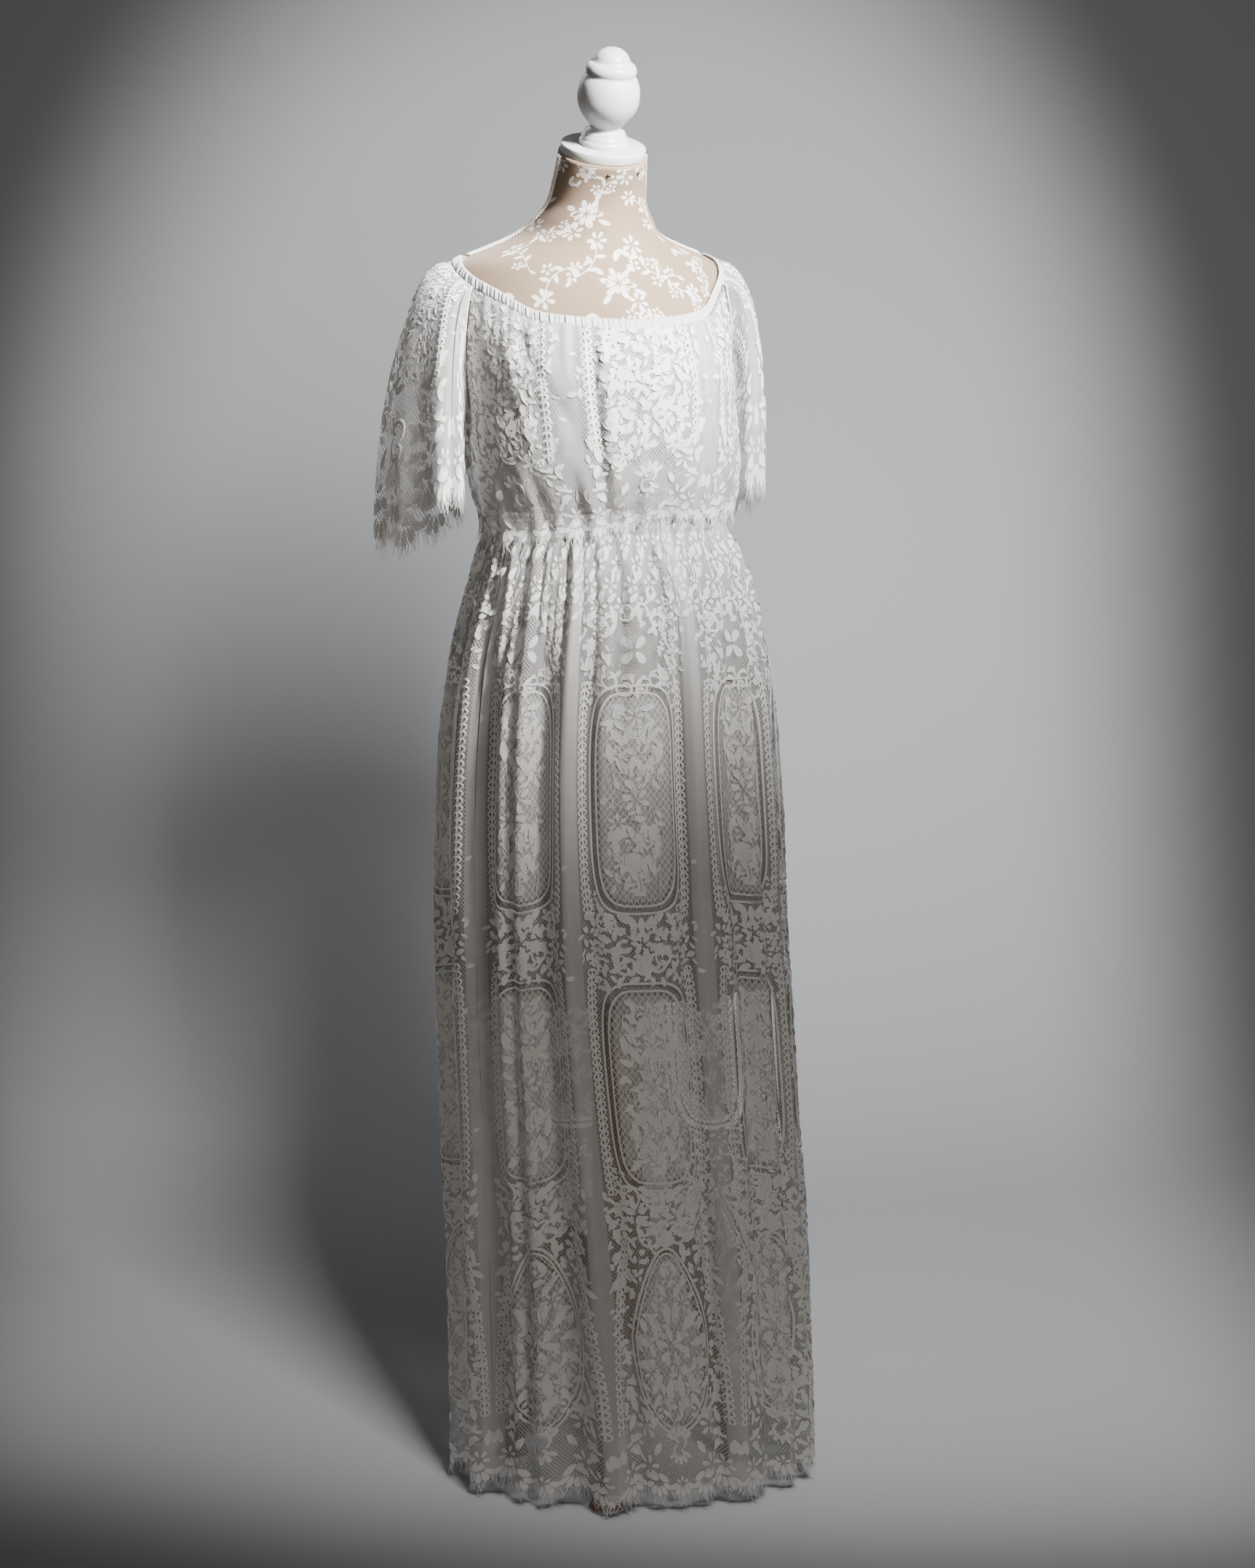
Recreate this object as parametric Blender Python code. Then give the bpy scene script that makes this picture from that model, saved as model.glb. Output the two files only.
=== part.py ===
"""Lace wedding dress on a limbless dress form with a turned finial and a wooden tripod.

Metres, +Z up. The form faces -Y and the wearer's left is +X. An azimuth is an angle round the
form in degrees, 0 at the centre front and positive towards the wearer's left.
"""
import math
from collections import namedtuple

import bmesh
import bpy
from mathutils import Matrix, Vector
from mathutils.geometry import tessellate_polygon

# Cloth and seams
SEAM_GAP = 0.0003
LACE_THICKNESS = 0.0015
LINING_THICKNESS = 0.0012
CASING_LIFT = 0.0011
CASING_THICKNESS = 0.0047
CASING_HALF_WIDTH = 0.006
LINING_LIFT = 0.0034
LINING_EASE = 0.0020
SLEEVE_SEAM_GAP = 0.0010
LACE_LIFT_AT_CASING = 0.0052

# Dress form: a row for each height, with the half width and the depths of the front, of the
# widest line and of the back. A lower power makes a section more pointed at its sides.
Section = namedtuple("Section", "z half_width front side back power centre_x")
FORM_SECTIONS = (
    Section(0.720, 0.136, -0.096, 0.010, 0.110, 2.00, 0.0),
    Section(0.738, 0.147, -0.105, 0.010, 0.121, 2.00, 0.0),
    Section(0.800, 0.152, -0.108, 0.010, 0.126, 2.00, 0.0),
    Section(0.880, 0.155, -0.112, 0.010, 0.130, 2.00, 0.0),
    Section(0.980, 0.150, -0.112, 0.008, 0.124, 2.00, 0.0),
    Section(1.070, 0.140, -0.107, 0.006, 0.112, 2.00, 0.0),
    Section(1.135, 0.136, -0.103, 0.006, 0.106, 2.00, 0.0),
    Section(1.190, 0.139, -0.109, 0.020, 0.108, 2.00, 0.0),
    Section(1.250, 0.147, -0.122, 0.038, 0.118, 2.00, 0.0),
    Section(1.290, 0.151, -0.123, 0.050, 0.130, 1.95, 0.0),
    Section(1.330, 0.157, -0.107, 0.061, 0.142, 1.88, 0.0),
    Section(1.3555, 0.161, -0.092, 0.068, 0.148, 1.80, 0.0),
    Section(1.380, 0.164, -0.077, 0.076, 0.152, 1.70, 0.0),
    Section(1.400, 0.166, -0.063, 0.080, 0.153, 1.64, 0.0),
    Section(1.413, 0.164, -0.054, 0.082, 0.152, 1.64, 0.0),
    Section(1.425, 0.154, -0.046, 0.082, 0.148, 1.68, 0.0),
    Section(1.438, 0.122, -0.037, 0.080, 0.140, 1.74, 0.0),
    Section(1.448, 0.098, -0.031, 0.076, 0.130, 1.82, 0.0),
    Section(1.460, 0.080, -0.026, 0.066, 0.118, 1.92, 0.0),
    Section(1.475, 0.068, -0.023, 0.050, 0.106, 2.00, 0.0),
    Section(1.4915, 0.058, -0.022, 0.038, 0.094, 2.00, 0.0),
    Section(1.520, 0.0535, -0.027, 0.026, 0.079, 2.00, 0.0),
    Section(1.548, 0.0505, -0.036, 0.016, 0.068, 2.00, 0.0),
)
FORM_COLUMNS = 32

# Neck cap and finial, tilted forward
CAP_TILT = 17.0
TILT_STARTS_AT_Z = 1.4915
CAP_RADIUS = 0.049
CAP_THICKNESS = 0.011
CAP_BEVEL = 0.0012
CAP_SEGMENTS = 26
FINIAL_SEGMENTS = 16
# Turned outline of the finial: height above the cap and radius
FINIAL_OUTLINE = (
    (0.0000, 0.0285), (0.0050, 0.0285), (0.0062, 0.0265), (0.0105, 0.0265), (0.0118, 0.0243),
    (0.0160, 0.0236), (0.0185, 0.0185), (0.0225, 0.0183), (0.0300, 0.0250), (0.0420, 0.0330),
    (0.0560, 0.0359), (0.0700, 0.0345), (0.0800, 0.0302), (0.0835, 0.0283), (0.0900, 0.0289),
    (0.0955, 0.0268), (0.0985, 0.0209), (0.1060, 0.0180), (0.1125, 0.0100), (0.1145, 0.0000),
)
TACK_AZIMUTHS = (-11.0, 33.0)
TACK_Z = 1.538
TACK_RADIUS = 0.0021
TACK_THICKNESS = 0.0014
BRAID_WIDTH = 0.0095
BRAID_THICKNESS = 0.0022

# Stand: a post, a hub and three curved legs with flat feet
POST_X = 0.011
POST_Y = -0.004
POST_RADIUS = 0.030
POST_TOP = 0.7197
TURNED_SEGMENTS = 24
HUB_TOP = 0.330
# Turned outline of the hub: height and radius
HUB_OUTLINE = (
    (0.158, 0.0120), (0.164, 0.0200), (0.180, 0.0250), (0.196, 0.0210), (0.206, 0.0300),
    (0.220, 0.0360), (0.292, 0.0360), (0.306, 0.0385), (0.320, 0.0385), (0.330, 0.0330),
)
LEG_AZIMUTHS = (95.0, 215.0, 335.0)
LEG_START_RADIUS = 0.0362
LEG_START_Z = 0.255
LEG_REACH = 0.155
LEG_ARCH_REACH = 0.125
LEG_ARCH_Z = 0.345
LEG_ANKLE_REACH = 0.098
LEG_ANKLE_Z = 0.110
LEG_HALF_WIDTHS = (0.0150, 0.0145, 0.0145, 0.0145, 0.0130, 0.0115, 0.0115, 0.0150)
FOOT_RADIUS = 0.021
FOOT_HEIGHT = 0.014

# Neckline casing: the height of its middle line at each azimuth, the same on both sides
NECKLINE = (
    (0, 1.3555), (15, 1.3575), (27, 1.360), (39, 1.364), (47, 1.371), (57, 1.384),
    (72, 1.4015), (90, 1.4245), (108, 1.416), (130, 1.400), (150, 1.391), (180, 1.388),
)

# Armholes: half a turn of the hole's angle runs from the front edge under the arm to the back
ARMHOLE_AZIMUTH = 90.0
ARMHOLE_HALF_WIDTH = 18.0
UNDERARM_Z = 1.238
ARMHOLE_STEPS = 5
ARMHOLE_ROUNDING = 1.4

# Bodice lace: its outer lift from the form at the front, the sides and the back
Ease = namedtuple("Ease", "z front side back")
BODICE_EASE = (
    Ease(1.105, 0.0145, 0.0140, 0.0135),
    Ease(1.122, 0.0130, 0.0125, 0.0120),
    Ease(1.140, 0.0160, 0.0145, 0.0135),
    Ease(1.165, 0.0235, 0.0200, 0.0190),
    Ease(1.195, 0.0270, 0.0225, 0.0220),
    Ease(1.230, 0.0215, 0.0180, 0.0190),
    Ease(1.260, 0.0130, 0.0125, 0.0130),
    Ease(1.300, 0.0110, 0.0110, 0.0110),
    Ease(1.340, 0.0088, 0.0088, 0.0088),
    Ease(1.430, 0.0052, 0.0052, 0.0052),
)
BODICE_HEM_Z = 1.113
BODICE_SCALLOP = 0.005
BODICE_ROWS = (0.0, 0.10, 0.22, 0.38, 0.57, 0.78, 1.0)
BODICE_GATHER = 0.0011
FRONT_STEP = 12.0

# Waist casing, and the bodice lining that ends on it
WAIST_TOP = 1.1360
WAIST_BOTTOM = 1.1220
WAIST_LIFT = 0.0011
WAIST_STEP = 11.25
LINING_TOP_DROP = 0.0012
LINING_ARMHOLE_DROP = 0.010

# Skirt: the outline of its sections, before the folds
SKIRT_SECTIONS = (
    Section(0.000, 0.207, -0.203, -0.010, 0.200, 2.0, 0.030),
    Section(0.300, 0.206, -0.190, -0.006, 0.191, 2.0, 0.022),
    Section(0.600, 0.203, -0.176, 0.003, 0.182, 2.0, 0.009),
    Section(0.820, 0.199, -0.163, 0.006, 0.172, 2.0, 0.004),
    Section(0.960, 0.186, -0.152, 0.006, 0.158, 2.0, 0.004),
    Section(1.050, 0.165, -0.136, 0.006, 0.140, 2.0, 0.005),
    Section(1.100, 0.149, -0.117, 0.006, 0.120, 2.0, 0.001),
    Section(1.1217, 0.1412, -0.1082, 0.006, 0.1112, 2.0, 0.0),
)
# Skirt folds in turn round the form: the azimuth at the hip and at the hem, and how far the
# ridge stands out, or the valley sinks in, at the hip and at the hem
Fold = namedtuple("Fold", "hip_azimuth hem_azimuth hip hem")
SKIRT_FOLDS = (
    Fold(-174.0, -174.0, 0.006, 0.012),
    Fold(-166.0, -165.0, -0.008, -0.013),
    Fold(-157.0, -158.0, 0.006, 0.011),
    Fold(-148.0, -147.0, -0.009, -0.015),
    Fold(-139.0, -139.0, 0.007, 0.014),
    Fold(-130.0, -129.0, -0.007, -0.012),
    Fold(-121.0, -121.0, 0.006, 0.013),
    Fold(-112.0, -111.0, -0.010, -0.016),
    Fold(-103.0, -103.0, 0.007, 0.012),
    Fold(-92.0, -93.0, -0.009, -0.014),
    Fold(-79.0, -80.0, 0.009, 0.012),
    Fold(-67.0, -68.0, -0.014, -0.017),
    Fold(-60.0, -60.0, 0.005, 0.006),
    Fold(-56.5, -55.5, -0.003, -0.003),
    Fold(-53.0, -51.0, 0.006, 0.008),
    Fold(-46.0, -41.0, -0.016, -0.018),
    Fold(-36.0, -26.0, 0.008, 0.022),
    Fold(-29.5, -16.5, -0.008, -0.013),
    Fold(-22.0, -11.0, 0.002, -0.001),
    Fold(-10.0, -3.0, 0.004, 0.001),
    Fold(3.0, 6.0, 0.002, 0.001),
    Fold(10.0, 13.0, -0.010, -0.012),
    Fold(15.0, 18.5, 0.005, 0.010),
    Fold(25.0, 27.5, 0.001, 0.005),
    Fold(36.5, 38.0, -0.011, -0.013),
    Fold(43.5, 45.0, 0.006, 0.009),
    Fold(50.5, 51.5, -0.006, -0.008),
    Fold(58.0, 58.5, 0.007, 0.010),
    Fold(67.0, 67.0, -0.007, -0.010),
    Fold(76.0, 76.0, 0.006, 0.010),
    Fold(86.0, 86.0, -0.007, -0.011),
    Fold(95.0, 95.0, 0.007, 0.012),
    Fold(104.0, 104.0, -0.008, -0.013),
    Fold(113.0, 113.0, 0.006, 0.012),
    Fold(122.0, 122.0, -0.007, -0.014),
    Fold(132.0, 132.0, 0.008, 0.014),
    Fold(142.0, 142.0, -0.008, -0.013),
    Fold(153.0, 152.0, 0.006, 0.011),
    Fold(163.0, 163.0, -0.007, -0.014),
    Fold(175.5, 175.0, 0.003, 0.002),
)
HIP_Z = 0.86
FOLDS_START_Z = 1.10
SKIRT_TOP = 1.1217
SKIRT_ROWS = (1.1217, 1.100, 1.050, 0.960, 0.840, 0.710, 0.580, 0.440, 0.300, 0.150)
SKIRT_GATHER = 0.0026
GATHERS_END_Z = 0.96
HEM_Z = 0.018
HEM_DROP_ON_RIDGES = 0.35
HEM_SCALLOP = 0.003

# Short skirt lining, inside the lace
SKIRT_LINING_ROWS = (1.1217, 1.100, 1.050, 0.960, 0.780, 0.600)
SKIRT_LINING_INSET_AT_TOP = 0.0021
SKIRT_LINING_INSET = 0.0075
LINING_CLEAR_Z = 1.098
SKIRT_LINING_RIDGE_SHARE = 0.45

# Lace repeat: cut gaps sit where the coarse net of each window is
LACE_REPEATS = 8
REPEAT_CENTRE_AZIMUTH = -10.0
WINDOW_HALF_SHARE = 0.22
WINDOW_ROWS = (6, 7, 8)
GAP_WIDTH = 0.0058
GAP_HEIGHT = 0.0095
NARROWEST_GAP_CELL = 0.0130
LARGEST_GAP_TWIST = 0.0005
SLEEVE_GAP_ROWS = (3, 4)

# Sleeves: the hem ring of each, and how the wall leaves the armhole
SleeveHem = namedtuple("SleeveHem", "side centre_x centre_y half_x half_y turn z front_rise outer_rise")
SLEEVE_HEMS = {
    "left": SleeveHem(1.0, 0.1945, 0.078, 0.0270, 0.074, 12.0, 1.132, 0.022, 0.012),
    "right": SleeveHem(-1.0, 0.2020, 0.076, 0.0300, 0.080, 16.0, 1.117, 0.034, 0.006),
}
SLEEVE_COLUMNS = 20
SLEEVE_ROWS = (0.0, 0.12, 0.28, 0.46, 0.66, 0.84, 1.0)
SLEEVE_START = 0.0016
SLEEVE_TWIST = 30.0
SLEEVE_HALF_GAP = 0.0010
SLEEVE_FOLD = 0.0045
SLEEVE_FOLDS = (0.4, -0.7, 0.9, -1.0, 0.6, -0.5, 0.3, -0.6, 0.8, -0.9, 1.0, -0.6)
SLEEVE_SCALLOP = 0.004

# Fringe
FRINGE_GAP = 0.0006
STRIP_END_GAP = 0.0040
FRINGE_THICKNESS = 0.0012
FRINGE_HEIGHT = 0.0030
STRAND_WIDTH = 0.0022
HEM_STRAND_LENGTHS = (0.0085, 0.0125, 0.0100, 0.0140, 0.0090, 0.0120)
SLEEVE_STRAND_LENGTHS = (0.013, 0.017, 0.011, 0.015, 0.019)
WAIST_STRAND_LENGTHS = (0.008, 0.011, 0.009)
LOWEST_STRAND_Z = 0.0025

DIFFERENCE = 0.0005

# Colour, roughness and metallic value of each finish
FINISHES = {
    "form_linen": ((0.66, 0.54, 0.44, 1.0), 0.85, 0.0),
    "white_paint": ((0.83, 0.83, 0.82, 1.0), 0.38, 0.0),
    "stand_wood": ((0.25, 0.11, 0.045, 1.0), 0.45, 0.0),
    "braid_cotton": ((0.80, 0.78, 0.74, 1.0), 0.85, 0.0),
    "tack_steel": ((0.09, 0.07, 0.06, 1.0), 0.45, 1.0),
    "lace_cotton": ((0.86, 0.85, 0.83, 1.0), 0.80, 0.0),
    "lining_cotton": ((0.88, 0.88, 0.88, 1.0), 0.75, 0.0),
}


def clear_scene():
    for scene_object in list(bpy.data.objects):
        bpy.data.objects.remove(scene_object, do_unlink=True)


def finish(name):
    """The material of a finish, made once."""
    material = bpy.data.materials.get(name)
    if material is None:
        colour, roughness, metallic = FINISHES[name]
        material = bpy.data.materials.new(name)
        material.use_nodes = True
        shader = material.node_tree.nodes["Principled BSDF"]
        shader.inputs["Base Color"].default_value = colour
        shader.inputs["Roughness"].default_value = roughness
        shader.inputs["Metallic"].default_value = metallic
        material.diffuse_color = colour
    return material


def add_object(name, mesh_builder, finish_name, smooth=True):
    """Turn a closed bmesh into a named object with its faces pointing out."""
    bmesh.ops.recalc_face_normals(mesh_builder, faces=mesh_builder.faces)
    mesh = bpy.data.meshes.new(name)
    mesh_builder.to_mesh(mesh)
    mesh_builder.free()
    new_object = bpy.data.objects.new(name, mesh)
    bpy.context.scene.collection.objects.link(new_object)
    mesh.materials.append(finish(finish_name))
    if smooth:
        mesh.shade_smooth()
        mesh.set_sharp_from_angle(angle=math.radians(40.0))
    return new_object


# Curves through tables

def smooth_step(low, high, value):
    share = min(1.0, max(0.0, (value - low) / (high - low)))
    return share * share * (3.0 - 2.0 * share)


def table_value(places, values, place):
    """A smooth curve through a table's values, flat beyond its ends."""
    if place <= places[0]:
        return values[0]
    if place >= places[-1]:
        return values[-1]
    index = max(i for i in range(len(places) - 1) if places[i] <= place)

    def slope(i):
        low, high = max(i - 1, 0), min(i + 1, len(places) - 1)
        return (values[high] - values[low]) / (places[high] - places[low])

    span = places[index + 1] - places[index]
    t = (place - places[index]) / span
    return ((2 * t ** 3 - 3 * t ** 2 + 1) * values[index]
            + (t ** 3 - 2 * t ** 2 + t) * span * slope(index)
            + (-2 * t ** 3 + 3 * t ** 2) * values[index + 1]
            + (t ** 3 - t ** 2) * span * slope(index + 1))


def section_at(sections, z):
    places = [row.z for row in sections]
    return Section(z, *(table_value(places, [getattr(row, field) for row in sections], z)
                        for field in Section._fields[1:]))


def wrapped(azimuth):
    """The same azimuth between -180 and 180 degrees."""
    return (azimuth + 180.0) % 360.0 - 180.0


def section_point(section, azimuth):
    sideways, forward = math.sin(math.radians(azimuth)), math.cos(math.radians(azimuth))
    depth = section.side - section.front if forward > 0.0 else section.back - section.side
    reach = (abs(sideways / section.half_width) ** section.power
             + abs(forward / depth) ** section.power) ** (-1.0 / section.power)
    return Vector((section.centre_x + reach * sideways, section.side - reach * forward, section.z))


# Dress form

def form_skin(azimuth, z):
    """A point on the form, whose neck tilts forward towards its top."""
    section = section_at(FORM_SECTIONS, z)
    point = section_point(section, azimuth)
    tilt = smooth_step(TILT_STARTS_AT_Z, FORM_SECTIONS[-1].z, z) * math.tan(math.radians(CAP_TILT))
    point.z += (point.y - section.side) * tilt
    return point


def form_normal(azimuth, z):
    turn = 0.5
    around = form_skin(azimuth + turn, z) - form_skin(azimuth - turn, z)
    upward = form_skin(azimuth, z + DIFFERENCE) - form_skin(azimuth, z - DIFFERENCE)
    return around.cross(upward).normalized()


def form_point(azimuth, z, lift):
    return form_skin(azimuth, z) + form_normal(azimuth, z) * lift


def lathe(name, outline, segments, finish_name, placement=Matrix()):
    """A closed turned solid from rows of height and radius, moved by its placement."""
    builder = bmesh.new()
    rings = []
    for height, radius in outline:
        if radius == 0.0:
            rings.append([builder.verts.new(placement @ Vector((0.0, 0.0, height)))])
            continue
        angles = [math.tau * index / segments for index in range(segments)]
        rings.append([builder.verts.new(placement @ Vector((radius * math.cos(angle),
                                                             radius * math.sin(angle), height)))
                      for angle in angles])
    join_rings(builder, rings)
    return add_object(name, builder, finish_name)


def join_rings(builder, rings):
    """Faces between rings of vertices, with the first and last rings closed."""
    for lower, upper in zip(rings, rings[1:]):
        count = len(lower)
        for index in range(count):
            following = (index + 1) % count
            if len(upper) == 1:
                builder.faces.new((lower[index], lower[following], upper[0]))
            else:
                builder.faces.new((lower[index], lower[following], upper[following], upper[index]))
    for ring in (rings[0], rings[-1]):
        if len(ring) > 2:
            builder.faces.new(ring)
    bmesh.ops.triangulate(builder, faces=builder.faces)


def build_form():
    builder = bmesh.new()
    rings = [[builder.verts.new(form_skin(360.0 * column / FORM_COLUMNS, row.z))
              for column in range(FORM_COLUMNS)] for row in FORM_SECTIONS]
    join_rings(builder, rings)
    add_object("form_torso", builder, "form_linen")


def cap_placement():
    """The frame of the neck cap: its underside lies just above the tilted neck."""
    top = FORM_SECTIONS[-1]
    return (Matrix.Translation((0.0, top.side, top.z + SEAM_GAP))
            @ Matrix.Rotation(math.radians(CAP_TILT), 4, "X"))


def build_cap_and_finial():
    placement = cap_placement()
    outline = ((0.0, CAP_RADIUS - CAP_BEVEL), (CAP_BEVEL, CAP_RADIUS),
               (CAP_THICKNESS - CAP_BEVEL, CAP_RADIUS), (CAP_THICKNESS, CAP_RADIUS - CAP_BEVEL))
    lathe("neck_cap", outline, CAP_SEGMENTS, "white_paint", placement)
    seat = placement @ Matrix.Translation((0.0, 0.0, CAP_THICKNESS + SEAM_GAP))
    lathe("finial", FINIAL_OUTLINE, FINIAL_SEGMENTS, "white_paint", seat)


def build_tacks():
    for number, azimuth in enumerate(TACK_AZIMUTHS, 1):
        normal = form_normal(azimuth, TACK_Z)
        centre = form_skin(azimuth, TACK_Z) + normal * SEAM_GAP
        placement = Matrix.Translation(centre) @ normal.to_track_quat("Z", "Y").to_matrix().to_4x4()
        outline = ((0.0, TACK_RADIUS), (TACK_THICKNESS * 0.5, TACK_RADIUS),
                   (TACK_THICKNESS, TACK_RADIUS * 0.55))
        lathe(f"tack_{number}", outline, 8, "tack_steel", placement)


def build_braids():
    """Flat braids over the shoulder seams, from the neck cap to the casing."""
    heights = [row.z for row in FORM_SECTIONS if row.z > NECKLINE[7][1] + 0.005]
    heights = [NECKLINE[7][1] + 0.0062] + heights[:-1] + [FORM_SECTIONS[-1].z - 0.0015]
    for name, azimuth in (("braid_right", -90.0), ("braid_left", 90.0)):
        outer, inner = [], []
        for edge in (-0.5, 0.0, 0.5):
            lower, upper = [], []
            for z in heights:
                across = (form_skin(azimuth + 1.0, z) - form_skin(azimuth - 1.0, z)).length / 2.0
                place = azimuth + edge * BRAID_WIDTH / across
                lower.append(form_point(place, z, 2.0 * SEAM_GAP))
                upper.append(form_point(place, z, 2.0 * SEAM_GAP + BRAID_THICKNESS))
            outer.append(upper)
            inner.append(lower)
        wall(name, outer, inner, "braid_cotton")


# Stand

def build_stand():
    at_post = Matrix.Translation((POST_X, POST_Y, 0.0))
    lathe("stand_post", ((HUB_TOP + SEAM_GAP, POST_RADIUS), (POST_TOP, POST_RADIUS)), TURNED_SEGMENTS,
          "stand_wood", at_post)
    lathe("stand_hub", HUB_OUTLINE, TURNED_SEGMENTS, "stand_wood", at_post)
    for number, azimuth in enumerate(LEG_AZIMUTHS, 1):
        build_leg(f"stand_leg_{number}", azimuth)


def build_leg(name, azimuth):
    """A curved leg: an S from the hub's side, over an arch and out to a flat foot."""
    direction = Vector((math.sin(math.radians(azimuth)), -math.cos(math.radians(azimuth)), 0.0))
    across = Vector((0.0, 0.0, 1.0)).cross(direction)
    base = Vector((POST_X, POST_Y, 0.0))
    knots = ((LEG_START_RADIUS, LEG_START_Z), (LEG_ARCH_REACH, LEG_ARCH_Z),
             (LEG_ANKLE_REACH, LEG_ANKLE_Z), (LEG_REACH, FOOT_HEIGHT))

    def route(share):
        weights = ((1 - share) ** 3, 3 * share * (1 - share) ** 2, 3 * share ** 2 * (1 - share),
                   share ** 3)
        reach = sum(weight * knot[0] for weight, knot in zip(weights, knots))
        height = sum(weight * knot[1] for weight, knot in zip(weights, knots))
        return base + direction * reach + Vector((0.0, 0.0, height))

    builder = bmesh.new()
    rings = []
    for index, half_width in enumerate(LEG_HALF_WIDTHS):
        share = index / (len(LEG_HALF_WIDTHS) - 1)
        along = (route(share + 0.01) - route(share - 0.01)).normalized()
        if index == 0:
            along = direction
        if index == len(LEG_HALF_WIDTHS) - 1:
            along = Vector((0.0, 0.0, -1.0))
        upward = across.cross(along)
        rings.append(leg_ring(builder, route(share), across, upward, half_width))
    foot = base + direction * LEG_REACH
    rings.append(leg_ring(builder, foot, across, across.cross(Vector((0.0, 0.0, -1.0))), FOOT_RADIUS))
    join_rings(builder, rings)
    add_object(name, builder, "stand_wood")


def leg_ring(builder, centre, across, upward, half_width):
    sides = 8
    return [builder.verts.new(centre + (across * math.cos(math.tau * side / sides)
                                        + upward * math.sin(math.tau * side / sides)) * half_width)
            for side in range(sides)]


# Cloth walls

def wall(name, outer, inner, finish_name, closed=False, gaps=None):
    """A closed wall between two grids of points.

    A grid is a list of columns in order round the form, each a list of points from top to
    bottom. gaps maps a cell to the outlines cut through it, in shares of the cell.
    """
    builder = bmesh.new()
    skins = [[[builder.verts.new(point) for point in column] for column in grid]
             for grid in (outer, inner)]
    columns, rows = len(outer), len(outer[0])
    cells = columns if closed else columns - 1
    for column in range(cells):
        following = (column + 1) % columns
        for row in range(rows - 1):
            outlines = (gaps or {}).get((column, row), ())
            fill_cell(builder, skins, column, following, row, outlines)
        for row in (0, rows - 1):
            builder.faces.new((skins[0][column][row], skins[0][following][row],
                               skins[1][following][row], skins[1][column][row]))
    if not closed:
        for column in (0, columns - 1):
            for row in range(rows - 1):
                builder.faces.new((skins[0][column][row], skins[0][column][row + 1],
                                   skins[1][column][row + 1], skins[1][column][row]))
    bmesh.ops.triangulate(builder, faces=[face for face in builder.faces if len(face.verts) > 3])
    return add_object(name, builder, finish_name)


def fill_cell(builder, skins, column, following, row, outlines):
    """Both faces of one cell, with the same triangles on each, and the sides of its gaps."""
    corner_shares = [(0.0, 0.0), (0.0, 1.0), (1.0, 1.0), (1.0, 0.0)]
    loops = [corner_shares] + [list(outline) for outline in outlines]
    width = (skins[0][following][row].co - skins[0][column][row].co).length
    height = (skins[0][column][row + 1].co - skins[0][column][row].co).length
    if outlines:
        flat = [[Vector((u * width, v * height, 0.0)) for u, v in loop] for loop in loops]
        triangles = tessellate_polygon(flat)
    else:
        triangles = ((0, 1, 2), (0, 2, 3))
    for skin in skins:
        corners = (skin[column][row], skin[column][row + 1], skin[following][row + 1],
                   skin[following][row])
        vertices = list(corners)
        for outline in outlines:
            vertices += [builder.verts.new(cell_point(corners, u, v)) for u, v in outline]
        for triangle in triangles:
            builder.faces.new([vertices[index] for index in triangle])
        if skin is skins[0]:
            outer_vertices = vertices
    first = len(corner_shares)
    for outline in outlines:
        for index in range(len(outline)):
            one, two = first + index, first + (index + 1) % len(outline)
            builder.faces.new((outer_vertices[one], outer_vertices[two], vertices[two],
                               vertices[one]))
        first += len(outline)


def cell_point(corners, across, down):
    left = corners[0].co.lerp(corners[1].co, down)
    right = corners[3].co.lerp(corners[2].co, down)
    return left.lerp(right, across)


def part_ends(grid, gap=SEAM_GAP):
    """Move the two end columns in, so that two walls meet with a gap between them."""
    ends = ((0, 1), (len(grid) - 1, len(grid) - 2))
    moved = [[point.lerp(neighbour, gap * 0.5 / max((neighbour - point).length, gap))
              for point, neighbour in zip(grid[end], grid[inside])] for end, inside in ends]
    return [moved[0]] + grid[1:-1] + [moved[1]]


# Neckline and bodice

def neckline_z(azimuth):
    places, heights = zip(*NECKLINE)
    return table_value(places, heights, abs(wrapped(azimuth)))


def down_the_form(azimuth, z, distance):
    """The height reached by going down the form's surface by a distance."""
    steps = 6
    for _ in range(steps):
        lower = form_skin(azimuth, z - DIFFERENCE)
        z -= DIFFERENCE * (distance / steps) / (form_skin(azimuth, z) - lower).length
    return z


def armhole_azimuths():
    """Azimuths of the armhole's edge, from its front edge to the underarm."""
    shares = [step / ARMHOLE_STEPS for step in range(ARMHOLE_STEPS + 1)]
    return [ARMHOLE_AZIMUTH - ARMHOLE_HALF_WIDTH * (1.0 - share) for share in shares]


def bodice_azimuths():
    """Azimuths round the bodice from -180 to 180, closer together at the armholes."""
    front_edge = ARMHOLE_AZIMUTH - ARMHOLE_HALF_WIDTH
    front = [FRONT_STEP * step for step in range(int(front_edge / FRONT_STEP))]
    quarter = front + armhole_azimuths()
    half = quarter + [180.0 - azimuth for azimuth in reversed(quarter[:-1])]
    return [-azimuth for azimuth in reversed(half[1:])] + half[:-1]


def bodice_top_z(azimuth):
    """The top edge of the bodice: the casing's lower edge, or the armhole's edge."""
    place = abs(wrapped(azimuth))
    edge = down_the_form(place, neckline_z(place), CASING_HALF_WIDTH + SEAM_GAP)
    reach = abs(place - ARMHOLE_AZIMUTH) / ARMHOLE_HALF_WIDTH
    if reach < 1.0:
        edge -= (edge - UNDERARM_Z) * (1.0 - reach ** ARMHOLE_ROUNDING)
    return edge


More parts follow.
